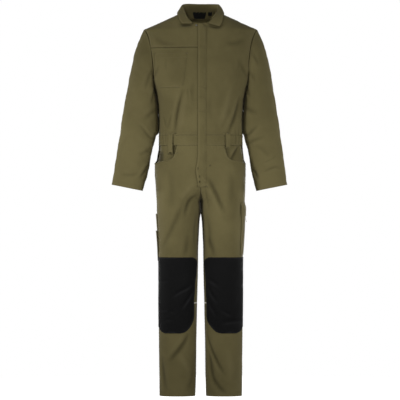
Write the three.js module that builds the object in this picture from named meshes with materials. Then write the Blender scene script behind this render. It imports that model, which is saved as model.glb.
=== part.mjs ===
// A boiler suit, filled out as when worn, in millimetres with +Z up and its front facing -Y.
// Heights below are above the trouser hem; the group at the end moves the origin to the shoulders.
// side is +1 for the wearer's left half (+X) and -1 for the right half.
import * as THREE from 'three';

// Driving sizes.
const HOLD_HEIGHT = 1540;
const WALL = 1.6;
const SEAM = 0.3;
const LIFT = 0.9;
const SQUARENESS = 2.3;
const HIP_SEAM = 1024;
const WAIST_SEAM = 1066;
const FORK = 800;
const RISE_TOP = 905;
const RISE_SQUARE = 0.995;
const LEG_BLEND_END = 880;
const UNDERARM = 1270;
const SHOULDER = 1499;
const CUFF_OUTER = 864;
const CUFF_INNER = 838.5;
const ARMHOLE_DEPTH = 0.31;
const ARMHOLE_SQUARENESS = 2.4;
const ARMHOLE_EASE = 0.994;
const UNDERARM_EASE = 0.9;
const SLEEVE_FORWARD = -12;
const SLEEVE_SWAY = -4.5;
const YOKE_ANGLE = 105;
const PLACKET_FREE_EDGE = -12.7;
const PLACKET_SEWN_EDGE = 21.5;

// Half width and depths of the body, from hem to neck.
const BODY = [
  { z: 0, half: 168.5, front: 68, back: 72 },
  { z: 140, half: 170, front: 71, back: 76 },
  { z: 285, half: 171.2, front: 77, back: 80 },
  { z: 385, half: 171.5, front: 83, back: 82 },
  { z: 505, half: 171.8, front: 87, back: 86 },
  { z: 605, half: 173, front: 94, back: 97 },
  { z: 705, half: 177, front: 102, back: 112 },
  { z: 760, half: 179.3, front: 107, back: 121 },
  { z: 850, half: 181, front: 114, back: 134 },
  { z: 900, half: 181, front: 117, back: 138 },
  { z: 951, half: 179.5, front: 117, back: 133 },
  { z: 985, half: 174.5, front: 114.5, back: 122 },
  { z: 1024, half: 170, front: 112, back: 110 },
  { z: 1066, half: 171, front: 112, back: 109 },
  { z: 1130, half: 172.5, front: 117, back: 115 },
  { z: 1180, half: 175, front: 124, back: 120 },
  { z: 1210, half: 178.5, front: 128, back: 122 },
  { z: 1240, half: 186, front: 131, back: 123 },
  { z: 1270, half: 197, front: 133, back: 123.5 },
  { z: 1320, half: 210, front: 134, back: 124 },
  { z: 1359, half: 218, front: 132, back: 124 },
  { z: 1408, half: 224, front: 125, back: 122 },
  { z: 1450, half: 228, front: 113, back: 116 },
  { z: 1499, half: 230, front: 92, back: 103 },
];
// Above the shoulder points the body narrows to the neck.
const SHOULDERS = [
  { z: 1499, half: 230, front: 92, back: 103 },
  { z: 1523, half: 177.5, front: 77, back: 92 },
  { z: 1545, half: 129, front: 68, back: 80 },
  { z: 1562, half: 92, front: 62, back: 72 },
];
// Half of the gap between the legs.
const INSEAM = [
  { z: 0, x: 21.7 },
  { z: 137, x: 19.1 },
  { z: 285, x: 17 },
  { z: 385, x: 14.8 },
  { z: 505, x: 11.5 },
  { z: 605, x: 10.3 },
  { z: 655, x: 8.4 },
  { z: 705, x: 6 },
  { z: 740, x: 2.4 },
  { z: 760, x: 1 },
  { z: 800, x: 0.5 },
];
// The neckline goes around from the front (0) over the shoulder (1) to the centre back (2).
const NECKLINE = [
  { around: 0, z: 1523 },
  { around: 0.14, z: 1526.5 },
  { around: 0.34, z: 1539 },
  { around: 0.62, z: 1554.5 },
  { around: 1, z: 1562 },
  { around: 1.3, z: 1557.5 },
  { around: 1.62, z: 1552.5 },
  { around: 2, z: 1550 },
];
// The sleeve's outer and inner edges as seen from the front, and its depth from armhole to cuff.
const SLEEVE_OUTER = [
  { z: 864, x: 359.5 },
  { z: 949, x: 346.5 },
  { z: 1047, x: 332 },
  { z: 1146, x: 318.4 },
  { z: 1244, x: 301.3 },
  { z: 1343, x: 283 },
  { z: 1416, x: 266 },
  { z: 1466, x: 247.6 },
  { z: 1499, x: 230 },
];
const SLEEVE_INNER = [
  { z: 838.5, x: 232.4 },
  { z: 900, x: 216.4 },
  { z: 949, x: 205.6 },
  { z: 998, x: 197 },
  { z: 1047.6, x: 184.7 },
  { z: 1072, x: 178.5 },
  { z: 1100, x: 176.4 },
  { z: 1130, x: 176.6 },
  { z: 1180, x: 179 },
  { z: 1210, x: 182.5 },
  { z: 1240, x: 189.4 },
  { z: 1270, x: 198 },
];
const SLEEVE_DEPTH = [
  { at: 0, half: 66 },
  { at: 0.15, half: 72 },
  { at: 0.3, half: 70 },
  { at: 0.5, half: 56 },
  { at: 0.75, half: 43 },
  { at: 1, half: 31 },
];
const SLEEVE_ROWS = [0, 0.03, 0.08, 0.15, 0.23, 0.32, 0.42, 0.53, 0.65, 0.77, 0.89, 1];
// Angles around an armhole, from the underarm to the shoulder point.
const ARMHOLE_ANGLES = [0, 15, 30, 45, 60, 75, 90, 105, 120, 135, 148, 156, 164, 172, 180];
// The scooped hip pocket's mouth.
const POCKET_MOUTH = [
  { z: 951, x: 179 },
  { z: 957, x: 160 },
  { z: 961, x: 138 },
  { z: 967, x: 121 },
  { z: 978, x: 110.5 },
  { z: 992, x: 106 },
  { z: 1006, x: 102.5 },
  { z: 1024, x: 98 },
];
// Broad folds, as soft ridges (height over 0) and troughs along a line in the front view.
const FOLDS = [
  { face: -1, x0: -68, z0: 1259, x1: -108, z1: 1070, width: 17, height: -4 },
  { face: -1, x0: -35, z0: 1255, x1: -75, z1: 1085, width: 18, height: 3.5 },
  { face: -1, x0: 158, z0: 1215, x1: 108, z1: 1068, width: 17, height: -4 },
  { face: -1, x0: 125, z0: 1250, x1: 80, z1: 1110, width: 18, height: 3 },
  { face: -1, x0: -8, z0: 812, x1: -85, z1: 730, width: 15, height: -4 },
  { face: -1, x0: 26, z0: 885, x1: 78, z1: 745, width: 15, height: -4 },
  { face: -1, x0: -50, z0: 255, x1: -98, z1: 180, width: 14, height: -4 },
  { face: -1, x0: 26, z0: 262, x1: 112, z1: 80, width: 14, height: -4.5 },
  { face: 1, x0: 95, z0: 1240, x1: 60, z1: 1080, width: 18, height: -4 },
  { face: 1, x0: -95, z0: 1250, x1: -55, z1: 1090, width: 18, height: -4 },
  { face: 1, x0: 20, z0: 800, x1: 100, z1: 700, width: 16, height: -4.5 },
  { face: 1, x0: -20, z0: 800, x1: -105, z1: 690, width: 16, height: -4.5 },
  { face: 1, x0: 30, z0: 470, x1: 140, z1: 440, width: 15, height: -4.5 },
  { face: 1, x0: -30, z0: 450, x1: -140, z1: 480, width: 15, height: -4.5 },
];
// The collar by its place around the neckline: its roll line, then its outer edge.
const COLLAR_RIGHT = [
  { around: 0.14, rx: 34, ry: -80, rz: 1532, ex: 76, ey: -80, ez: 1524 },
  { around: 0.35, rx: 56, ry: -58, rz: 1547, ex: 90, ey: -66, ez: 1543 },
];
const COLLAR_LEFT = [
  { around: 0.14, rx: 30, ry: -81, rz: 1531, ex: 77, ey: -89, ez: 1510.5 },
  { around: 0.35, rx: 52, ry: -59, rz: 1548, ex: 88, ey: -75, ez: 1531 },
];
const COLLAR_BACK = [
  { around: 0.6, rx: 66, ry: -30, rz: 1567, ex: 95, ey: -46, ez: 1556 },
  { around: 0.85, rx: 72.5, ry: 0, rz: 1587, ex: 97, ey: -16, ez: 1565 },
  { around: 1.1, rx: 76, ry: 22, rz: 1600, ex: 97, ey: 13, ez: 1566 },
  { around: 1.4, rx: 69, ry: 43, rz: 1605.5, ex: 88, ey: 50, ez: 1562 },
  { around: 1.7, rx: 41, ry: 57, rz: 1607, ex: 52, ey: 79, ez: 1557 },
  { around: 2, rx: 0, ry: 62, rz: 1607, ex: 0, ey: 88, ez: 1555 },
];
const COLLAR_STATIONS = [0.14, 0.24, 0.34, 0.48, 0.62, 0.8, 1, 1.15, 1.3, 1.46, 1.62, 1.81, 2];
const COLLAR_ROLL = 2.8;
const COLLAR_SEAM = 0.9;
const COLLAR_BELLY = 2;
const COLLAR_WALL = 1.4;
const LABEL_GAP = 1.1;
const LABEL_WALL = 1;
// The fly ends in the placket's foot; the placket's top slants down to its sewn edge.
const FLY_END = 854;
const PLACKET_TOP = 1521.5;
const PLACKET_SLANT = 14;
const ZIP = { half: 14, foot: 870, head: 1516.5, depth: 3.6, thickness: 1.2 };
const STUD = { x: -17.8, z: 1513, radius: 3.8, height: 2 };
// Pockets by their heights, their edges around the body, and how far they stand off.
const BACK_POCKET = { bottom: 872, top: 1003, from: 1.1, to: 1.56, gape: 3 };
const TOOL_BACK = { bottom: 553, top: 745, to: 1.36, gape: 4 };
const TOOL_FRONT = { top: 676, gape: 2.5 };
const TOOL_FRONT_EDGE = { low: 1.015, high: 0.93, from: 572, to: 596 };
const CARGO = { bottom: 576, top: 772, from: 0.81, to: 1.38, belly: 3.2 };
const FLAP = { bottom: 735, top: 791, from: 0.79, to: 1.4, belly: 2.2, sewn: 780 };
const PULL = { around: 0.96, z: 731, length: 19, flare: 5.5, width: 4, thickness: 2 };
const KNEE_MARK = { bottom: 379, top: 384, inner: 16, left: 22, right: 26.5, thickness: 1 };
// Belt loops: the front ones by their distance from the centre, the back ones by their place around.
const LOOP_STANDOFF = 2.6;
const FRONT_LOOPS = {
  left: { bottom: 1012, top: 1072, inner: 100, outer: 119 },
  right: { bottom: 1008, top: 1068, inner: 112, outer: 131 },
};
const BACK_LOOPS = { bottom: 1010, top: 1070, from: 1.62, to: 1.72 };
const NECK_LABEL = { from: -32, to: 22, bottom: 1541, top: 1574 };
const SIZE_LABEL = { from: 30, to: 47, bottom: 1557, top: 1574 };
const LEAST_STEP = 0.004;
// Edges of the chest pocket by their distance from the centre.
const CHEST_POCKET = [
  { z: 1259, inner: 84, outer: 163 },
  { z: 1264, inner: 77, outer: 172 },
  { z: 1272, inner: 72, outer: 179 },
  { z: 1290, inner: 68, outer: 184 },
  { z: 1320, inner: 64, outer: 186 },
  { z: 1350, inner: 61, outer: 186.5 },
  { z: 1376, inner: 58, outer: 187 },
  { z: 1400, inner: 56, outer: 187 },
];
// Edges of the knee patches; outer 170 and more reaches the side seam.
const KNEE_PATCH = [
  { z: 258, right: 72, left: 71, outer: 144 },
  { z: 263, right: 66, left: 66, outer: 156 },
  { z: 272, right: 57, left: 56, outer: 166 },
  { z: 279, right: 50.5, left: 49, outer: 169 },
  { z: 288, right: 44, left: 42, outer: 170.9 },
  { z: 306, right: 33, left: 31, outer: 171 },
  { z: 326, right: 28, left: 24, outer: 171 },
  { z: 350, right: 27.6, left: 23.6, outer: 171 },
  { z: 375, right: 27.6, left: 23.4, outer: 171 },
  { z: 400, right: 26.5, left: 23, outer: 171 },
  { z: 425, right: 25, left: 22.6, outer: 171 },
  { z: 450, right: 23, left: 22, outer: 171 },
  { z: 475, right: 21, left: 21.5, outer: 171 },
  { z: 500, right: 19, left: 19.5, outer: 171 },
  { z: 525, right: 17, left: 17.5, outer: 171 },
  { z: 546, right: 15.8, left: 15.8, outer: 171 },
  { z: 560, right: 21, left: 21, outer: 171 },
  { z: 568, right: 33, left: 33, outer: 171 },
];

// Finishes.
const finish = (color, roughness, metalness = 0) => (
  new THREE.MeshStandardMaterial({ color, roughness, metalness })
);
const twill = finish(0x615a3d, 0.88);
const patchCloth = finish(0x191919, 0.8);
const tape = finish(0x16160f, 0.8);
const lightTape = finish(0xd9d6c6, 0.7);
const steel = finish(0x8b8b86, 0.35, 1);

const suit = new THREE.Group();
suit.position.z = -HOLD_HEIGHT;

function add(name, geometry, material = twill) {
  const mesh = new THREE.Mesh(geometry, material);
  mesh.name = name;
  suit.add(mesh);
}

// Smooth lookup of one column of a table, straight beyond its ends.
function column(rows, key, at = 'z') {
  const xs = rows.map((row) => row[at]);
  const ys = rows.map((row) => row[key]);
  const last = xs.length - 1;
  const slope = (i) => (ys[i + 1] - ys[i]) / (xs[i + 1] - xs[i]);
  const tangents = xs.map((_, i) => {
    if (i === 0) return slope(0);
    if (i === last) return slope(last - 1);
    const before = slope(i - 1);
    const after = slope(i);
    return before * after <= 0 ? 0 : (2 * before * after) / (before + after);
  });
  return (x) => {
    if (x <= xs[0]) return ys[0] + tangents[0] * (x - xs[0]);
    if (x >= xs[last]) return ys[last] + tangents[last] * (x - xs[last]);
    let i = 0;
    while (x > xs[i + 1]) i += 1;
    const span = xs[i + 1] - xs[i];
    const t = (x - xs[i]) / span;
    const keep = (1 + 2 * t) * (1 - t) ** 2;
    const lead = t * (1 - t) ** 2 * span;
    const trail = t * t * (t - 1) * span;
    return ys[i] * keep + ys[i + 1] * (1 - keep) + tangents[i] * lead + tangents[i + 1] * trail;
  };
}

const mix = (a, b, t) => a + (b - a) * t;
const clamp = (v, low = 0, high = 1) => Math.min(high, Math.max(low, v));
const smooth = (v) => clamp(v) ** 2 * (3 - 2 * clamp(v));
const rounded = (v, squareness = SQUARENESS) => Math.sign(v) * Math.abs(v) ** (2 / squareness);
const along = (count, from, to) => Array.from({ length: count + 1 }, (_, i) => mix(from, to, i / count));

const bodySize = Object.fromEntries(
  ['half', 'front', 'back'].map((key) => [key, column(BODY, key)])
);
const shoulderSize = Object.fromEntries(
  ['half', 'front', 'back'].map((key) => [key, column(SHOULDERS, key)])
);
const sizeAt = (z, key) => (z > SHOULDER ? shoulderSize[key](z) : bodySize[key](z));
const inseamAt = column(INSEAM, 'x');
const neckHeight = column(NECKLINE, 'z', 'around');

// One level of the body: around runs from the centre front (0) by the side (1) to the centre back (2).
function bodyRing(around, z) {
  const angle = (around * Math.PI) / 2;
  const depth = Math.cos(angle) >= 0 ? sizeAt(z, 'front') : sizeAt(z, 'back');
  return [sizeAt(z, 'half') * rounded(Math.sin(angle)), -depth * rounded(Math.cos(angle))];
}

// One level of a leg, or above the fork of half the hips, open at the centre seam.
function legRing(around, z) {
  const outer = sizeAt(z, 'half');
  const edge = z > FORK ? 0 : inseamAt(z);
  const middle = (outer + inseamAt(z)) / 2;
  const facing = around <= 1 ? -1 : 1;
  const depth = sizeAt(z, facing < 0 ? 'front' : 'back');
  const near = around <= 1 ? around : 2 - around;
  const rise = clamp((z - FORK) / (RISE_TOP - FORK));
  const open = z > FORK ? Math.min(RISE_SQUARE, Math.sqrt(1 - (1 - rise) ** 2)) : 0;
  const first = Math.asin(open ** (SQUARENESS / 2));
  if (near >= 0.5) {
    const angle = (1 - near) * Math.PI;
    return [middle + (outer - middle) * rounded(Math.cos(angle)), facing * depth * rounded(Math.sin(angle))];
  }
  const angle = mix(first, Math.PI / 2, near * 2);
  const reach = (middle - edge) / rounded(Math.cos(first));
  return [middle - reach * rounded(Math.cos(angle)), facing * depth * rounded(Math.sin(angle))];
}

// The smooth cloth without folds.
function plainCloth(side, around, z) {
  if (z >= HIP_SEAM) {
    const [x, y] = bodyRing(around, z);
    return new THREE.Vector3(side * x, y, z);
  }
  const share = smooth((HIP_SEAM - z) / (HIP_SEAM - LEG_BLEND_END));
  const [bx, by] = bodyRing(around, z);
  const [lx, ly] = legRing(around, z);
  return new THREE.Vector3(side * mix(bx, lx, share), mix(by, ly, share), z);
}

// The outward normal of a surface given as a function of two parameters.
function normalOf(surface, u, v, stepU, stepV, limits) {
  const u0 = Math.max(limits[0], u - stepU);
  const u1 = Math.min(limits[1], u + stepU);
  const v0 = Math.max(limits[2], v - stepV);
  const v1 = Math.min(limits[3], v + stepV);
  const du = surface(u1, v).sub(surface(u0, v));
  const dv = surface(u, v1).sub(surface(u, v0));
  return du.cross(dv).normalize();
}
const BODY_LIMITS = [0, 2, 0, 1562];

function plainNormal(side, around, z) {
  const surface = (u, v) => plainCloth(side, u, v);
  return normalOf(surface, around, z, 0.002, 0.5, BODY_LIMITS).multiplyScalar(side);
}

function foldHeight(point) {
  const face = Math.sign(point.y);
  let height = 0;
  for (const fold of FOLDS) {
    if (fold.face !== face) continue;
    const length = Math.hypot(fold.x1 - fold.x0, fold.z1 - fold.z0);
    const dx = (fold.x1 - fold.x0) / length;
    const dz = (fold.z1 - fold.z0) / length;
    const run = (point.x - fold.x0) * dx + (point.z - fold.z0) * dz;
    const off = (point.x - fold.x0) * dz - (point.z - fold.z0) * dx;
    const taper = Math.sin(Math.PI * clamp(run / length));
    height += fold.height * taper * Math.exp(-((off / fold.width) ** 2));
  }
  return height;
}

// The cloth with its broad folds, moved out by lift.
function cloth(side, around, z, lift = 0) {
  const point = plainCloth(side, around, z);
  return point.addScaledVector(plainNormal(side, around, z), foldHeight(point) + lift);
}

function clothNormal(side, around, z) {
  const surface = (u, v) => cloth(side, u, v);
  return normalOf(surface, around, z, 0.004, 1, BODY_LIMITS).multiplyScalar(side);
}

// The place around the body where a level reaches the distance x from the centre.
function aroundAt(x, z) {
  let low = 0;
  let high = 1;
  for (let i = 0; i < 30; i += 1) {
    const middle = (low + high) / 2;
    if (Math.abs(plainCloth(1, middle, z).x) < x) low = middle;
    else high = middle;
  }
  return (low + high) / 2;
}

// A closed wall between two grids of points with the same rows and columns.
function wall(outer, inner, closed = false) {
  const rows = outer.length;
  const columns = outer[0].length;
  const positions = [];
  for (const grid of [outer, inner]) {
    for (const row of grid) {
      for (const point of row) positions.push(point.x, point.y, point.z);
    }
  }
  const index = [];
  const half = rows * columns;
  const at = (layer, row, col) => layer * half + row * columns + (col % columns);
  const quad = (a, b, c, d) => index.push(a, b, c, a, c, d);
  const lastColumn = closed ? columns : columns - 1;
  for (let row = 0; row < rows - 1; row += 1) {
    for (let col = 0; col < lastColumn; col += 1) {
      quad(at(0, row, col), at(0, row, col + 1), at(0, row + 1, col + 1), at(0, row + 1, col));
      quad(at(1, row, col), at(1, row + 1, col), at(1, row + 1, col + 1), at(1, row, col + 1));
    }
    if (!closed) {
      const end = columns - 1;
      quad(at(0, row, 0), at(0, row + 1, 0), at(1, row + 1, 0), at(1, row, 0));
      quad(at(0, row, end), at(1, row, end), at(1, row + 1, end), at(0, row + 1, end));
    }
  }
  const end = rows - 1;
  for (let col = 0; col < lastColumn; col += 1) {
    quad(at(0, 0, col), at(1, 0, col), at(1, 0, col + 1), at(0, 0, col + 1));
    quad(at(0, end, col), at(0, end, col + 1), at(1, end, col + 1), at(1, end, col));
  }
  const corner = (i) => new THREE.Vector3(...positions.slice(3 * i, 3 * i + 3));
  let volume = 0;
  for (let i = 0; i < index.length; i += 3) {
    volume += corner(index[i]).dot(corner(index[i + 1]).cross(corner(index[i + 2])));
  }
  if (volume < 0) index.reverse();
  const geometry = new THREE.BufferGeometry();
  geometry.setAttribute('position', new THREE.Float32BufferAttribute(positions, 3));
  geometry.setIndex(index);
  return geometry;
}

// A panel of the body cloth on one side. Each row runs between two places {around, z}.
function panel(side, rows, columns, shift, lift = 0) {
  const outer = [];
  const inner = [];
  for (const { from, to } of rows) {
    const outerRow = [];
    const innerRow = [];
    for (const t of along(columns, 0, 1)) {
      const around = mix(from.around, to.around, t);
      const z = mix(from.z, to.z, t);
      const point = cloth(side, around, z, lift).add(shift);
      outerRow.push(point);
      innerRow.push(point.clone().addScaledVector(clothNormal(side, around, z), -WALL));
    }
    outer.push(outerRow);
    inner.push(innerRow);
  }
  return wall(outer, inner);
}

const FRONT_SHIFT = (side) => new THREE.Vector3((side * SEAM) / 2, -SEAM / 2, 0);
const BACK_SHIFT = (side) => new THREE.Vector3((side * SEAM) / 2, SEAM / 2, 0);

// The armhole is a rounded square around the side line, seen along the body's surface.
const ARMHOLE_MIDDLE = (UNDERARM + SHOULDER) / 2;
const ARMHOLE_RISE = (SHOULDER - UNDERARM) / 2;
function armhole(degrees, facing, ease = 1) {
  const angle = (degrees * Math.PI) / 180;
  const depth = ARMHOLE_DEPTH * rounded(Math.sin(angle), ARMHOLE_SQUARENESS);
  const rise = ARMHOLE_RISE * rounded(Math.cos(angle), ARMHOLE_SQUARENESS);
  return { around: 1 + facing * depth * ease, z: ARMHOLE_MIDDLE - rise * ease };
}

// Bodice rows: level up to the yoke seam, then fanned out to the neckline and shoulder seam.
const LOW_ROWS = along(6, WAIST_SEAM + SEAM / 2, UNDERARM).slice(0, -1);
const NECK_STEPS = [
  { degrees: 120, share: 0.33 },
  { degrees: 135, share: 0.67 },
  { degrees: 148, around: 0 },
  { degrees: 156, around: 0.14 },
  { degrees: 164, around: 0.34 },
  { degrees: 172, around: 0.62 },
  { degrees: 180, around: 1 },
];
const YOKE_HEIGHT = armhole(YOKE_ANGLE, -1).z;

// Where a row of the front starts: on the centre front, then on the neckline.
function centrePlace(degrees) {
  const step = NECK_STEPS.find((item) => item.degrees === degrees);
  if (!step) return { around: 0, z: armhole(degrees, -1).z };
  if (step.share) return { around: 0, z: mix(YOKE_HEIGHT, neckHeight(0), step.share) };
  return { around: step.around, z: neckHeight(step.around) };
}

function frontRows(firstAngle, lastAngle) {
  const low = firstAngle > 0 ? [] : LOW_ROWS.map((z) => ({ from: { around: 0, z }, to: { around: 1, z } }));
  const angles = ARMHOLE_ANGLES.filter((angle) => angle >= firstAngle && angle <= lastAngle);
  return [...low, ...angles.map((angle) => ({ from: centrePlace(angle), to: armhole(angle, -1) }))];
}

const BODICE_COLUMNS = 8;
add('front_left', panel(1, frontRows(0, 180), BODICE_COLUMNS, FRONT_SHIFT(1)));
add('front_right', panel(-1, frontRows(0, YOKE_ANGLE), BODICE_COLUMNS, FRONT_SHIFT(-1)));
const YOKE_SHIFT = FRONT_SHIFT(-1).add(new THREE.Vector3(0, 0, SEAM));
add('front_yoke_right', panel(-1, frontRows(YOKE_ANGLE, 180), BODICE_COLUMNS, YOKE_SHIFT));

// The back is one piece. Above the yoke height its rows spread to the neckline and shoulder seams.
const SHOULDER_SHARE = 3 / 8;
function backTop(share) {
  if (share > 1 - SHOULDER_SHARE) {
    return { around: 1, z: mix(SHOULDER, neckHeight(1), (1 - share) / SHOULDER_SHARE) };
  }
  const around = 2 - share / (1 - SHOULDER_SHARE);
  return { around, z: neckHeight(around) };
}

function backPlace(share, rise, side) {
  const centreZ = mix(YOKE_HEIGHT, neckHeight(2), rise);
  const start = backTop(0);
  const top = backTop(share);
  const end = backTop(1);
  const around = mix(2, side.around, share) + rise * (top.around - mix(start.around, end.around, share));
  const z = mix(centreZ, side.z, share) + rise * (top.z - mix(start.z, end.z, share));
  return { around: clamp(around, 1, 2), z };
}

function bodiceBack(columns) {
  const levels = LOW_ROWS.map((z) => ({ around: 1, z }));
  const lowerAngles = ARMHOLE_ANGLES.filter((angle) => angle < YOKE_ANGLE);
  const sides = [...levels, ...lowerAngles.map((angle) => armhole(angle, 1))];
  const rows = sides.map((side) => (share) => ({ around: mix(2, side.around, share), z: side.z }));
  const upper = ARMHOLE_ANGLES.filter((angle) => angle >= YOKE_ANGLE);
  upper.forEach((angle, i) => {
    rows.push((share) => backPlace(share, i / (upper.length - 1), armhole(angle, 1)));
  });
  const outer = [];
  const inner = [];
  for (const row of rows) {
    const points = along(2 * columns, -1, 1).map((t) => {
      const side = t < 0 ? -1 : 1;
      const place = row(Math.abs(t));
      const point = cloth(side, place.around, place.z).add(BACK_SHIFT(0));
      return { point, normal: clothNormal(side, place.around, place.z) };
    });
    outer.push(points.map(({ point }) => point));
    inner.push(points.map(({ point, normal }) => point.clone().addScaledVector(normal, -WALL)));
  }
  return wall(outer, inner);
}
add('back', bodiceBack(BODICE_COLUMNS));

// The waistband, in two fronts and a back.
const BAND_ROWS = [HIP_SEAM + SEAM / 2, (HIP_SEAM + WAIST_SEAM) / 2, WAIST_SEAM - SEAM / 2];
const level = (z, from, to) => ({ from: { around: from, z }, to: { around: to, z } });
for (const [side, label] of [[1, 'left'], [-1, 'right']]) {
  const rows = BAND_ROWS.map((z) => level(z, 0, 1));
  add(`waistband_${label}`, panel(side, rows, BODICE_COLUMNS, FRONT_SHIFT(side)));
}
function bandBack(columns) {
  const outer = BAND_ROWS.map((z) => along(2 * columns, -1, 1).map((t) => (
    cloth(t < 0 ? -1 : 1, 2 - Math.abs(t), z).add(BACK_SHIFT(0))
  )));
  const inner = BAND_ROWS.map((z, row) => along(2 * columns, -1, 1).map((t, col) => (
    outer[row][col].clone().addScaledVector(clothNormal(t < 0 ? -1 : 1, 2 - Math.abs(t), z), -WALL)
  )));
  return wall(outer, inner);
}
add('waistband_back', bandBack(BODICE_COLUMNS));

// The trousers: a front and a back on each side, the front cut away at the hip pocket.
const LEG_COLUMNS = 10;
const TROUSER_TOP = HIP_SEAM - SEAM / 2;
const HIP_ROWS = [TROUSER_TOP, 1006, 992, 978, 967, 963.5, 961, 958.5, 956.5, 954.5, 952.5, 951];
const SEAT_ROWS = [928, 905, 884, 862, 842, 826, 814, 806, 801.5, 800, 785, 762, 735];
const SHANK_ROWS = [700, 655, 605, 555, 505, 455, 405, 355, 305, 255, 200, 140, 70, 0];
const mouthAt = column(POCKET_MOUTH, 'x');
const mouthPlace = (z) => (z <= POCKET_MOUTH[0].z ? 1 : aroundAt(mouthAt(z), z));
const BEARER_LIFT = -(WALL + 3.2);
const BEARER_OVERLAP = 0.09;
for (const [side, label] of [[1, 'left'], [-1, 'right']]) {
  const low = [...SEAT_ROWS, ...SHANK_ROWS];
  const front = [...HIP_ROWS.map((z) => level(z, 0, mouthPlace(z))), ...low.map((z) => level(z, 0, 1))];
  add(`trouser_front_${label}`, panel(side, front, LEG_COLUMNS, FRONT_SHIFT(side)));
  const backRows = [TROUSER_TOP, 990, 951, ...low].map((z) => level(z, 1, 2));
  add(`trouser_back_${label}`, panel(side, backRows, LEG_COLUMNS, BACK_SHIFT(side)));
  const bearer = [TROUSER_TOP, 1006, 992, 978, 967, 957, 946].map((z) => (
    level(z, Math.max(0.2, mouthPlace(z) - BEARER_OVERLAP), 1)
  ));
  add(`pocket_bearer_${label}`, panel(side, bearer, 6, FRONT_SHIFT(side), BEARER_LIFT));
}

// The sleeves. Each ring passes through the outer and the inner edge, and the first one is the armhole.
const outerEdge = column(SLEEVE_OUTER, 'x');
const innerEdge = column(SLEEVE_INNER, 'x');
const sleeveDepth = column(SLEEVE_DEPTH, 'half', 'at');
const BLEND_LENGTH = 0.3;
const MITRE_ANGLES = [30, 100];

function sleeveRing(side, degrees, at) {
  const angle = (degrees * Math.PI) / 180;
  const topZ = mix(SHOULDER, CUFF_OUTER, at);
  const lowZ = mix(UNDERARM, CUFF_INNER, at);
  const sway = SLEEVE_SWAY * at;
  const share = (1 - rounded(Math.cos(angle))) / 2;
  const x = side * mix(innerEdge(lowZ), outerEdge(topZ), share) + sway;
  const y = SLEEVE_FORWARD * at - sleeveDepth(at) * rounded(Math.sin(angle));
  return new THREE.Vector3(x, y, mix(lowZ, topZ, share));
}

// How far the sleeve's cut end follows the body's wall: fully over the shoulder, not at the underarm.
function mitreShare(degrees) {
  const fold = Math.abs(((degrees + 180) % 360) - 180);
  return smooth((fold - MITRE_ANGLES[0]) / (MITRE_ANGLES[1] - MITRE_ANGLES[0]));
}

function armholePoint(side, degrees) {
  const facing = degrees <= 180 ? -1 : 1;
  const fold = degrees <= 180 ? degrees : 360 - degrees;
  const start = armhole(fold, facing, ARMHOLE_EASE);
  const edge = armhole(fold, facing);
  const shift = facing < 0 ? FRONT_SHIFT(0) : BACK_SHIFT(0);
  const lift = UNDERARM_EASE * (1 - mitreShare(degrees));
  return {
    point: cloth(side, start.around, start.z, lift).add(shift),
    normal: clothNormal(side, edge.around, edge.z),
  };
}

function sleevePoint(side, degrees, at) {
  const point = sleeveRing(side, degrees, at);
  if (at >= BLEND_LENGTH) return point;
  const start = armholePoint(side, degrees).point.sub(sleeveRing(side, degrees, 0));
  return point.addScaledVector(start, (1 - at / BLEND_LENGTH) ** 2);
}

function sleeveNormal(side, degrees, at) {
  const surface = (u, v) => sleevePoint(side, (u + 360) % 360, v);
  return normalOf(surface, degrees, at, 1, 0.004, [-10, 370, 0, 1]).multiplyScalar(-side);
}

function sleeve(side, rows) {
  const angles = [...ARMHOLE_ANGLES, ...ARMHOLE_ANGLES.slice(1, -1).map((a) => 360 - a).reverse()];
  const outer = rows.map((at) => angles.map((degrees) => sleevePoint(side, degrees, at)));
  const inner = rows.map((at, row) => angles.map((degrees, col) => {
    const normal = sleeveNormal(side, degrees, at);
    if (at === 0) normal.lerp(armholePoint(side, degrees).normal, mitreShare(degrees)).normalize();
    return outer[row][col].clone().addScaledVector(normal, -WALL);
  }));
  return wall(outer, inner, true);
}
for (const [side, label] of [[1, 'left'], [-1, 'right']]) {
  add(`sleeve_${label}`, sleeve(side, SLEEVE_ROWS));
}

// The collar: a stand up to the roll line and a leaf down from it, in one folded wall.
function collarPlace(side, around) {
  const rows = [...(side > 0 ? COLLAR_LEFT : COLLAR_RIGHT), ...COLLAR_BACK];
  const value = (key) => column(rows, key, 'around')(around);
  const roll = new THREE.Vector3(side * value('rx'), value('ry'), value('rz'));
  const edge = new THREE.Vector3(side * value('ex'), value('ey'), value('ez'));
  const neck = cloth(side, around, neckHeight(around));
  neck.z += COLLAR_SEAM;
  return { neck, roll, edge };
}

function collarSection(side, around) {
  const { neck, roll, edge } = collarPlace(side, around);
  const out = edge.clone().sub(roll).setZ(0).normalize();
  const inRoll = roll.clone().addScaledVector(out, -COLLAR_ROLL).setZ(roll.z - COLLAR_ROLL);
  const outRoll = roll.clone().addScaledVector(out, COLLAR_ROLL).setZ(roll.z - COLLAR_ROLL);
  const belly = outRoll.clone().lerp(edge, 0.5).addScaledVector(out, COLLAR_BELLY);
  return [neck, neck.clone().lerp(inRoll, 0.5), inRoll, roll, outRoll, belly, edge];
}

// Moves a grid inwards by a wall, along the normals that its own neighbours give.
function thickened(grid, amount) {
  const rows = grid.length;
  const columns = grid[0].length;
  return grid.map((line, row) => line.map((point, col) => {
    const up = grid[Math.min(rows - 1, row + 1)][col].clone().sub(grid[Math.max(0, row - 1)][col]);
    const across = line[Math.min(columns - 1, col + 1)].clone().sub(line[Math.max(0, col - 1)]);
    return point.clone().addScaledVector(across.cross(up).normalize(), amount);
  }));
}

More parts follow.
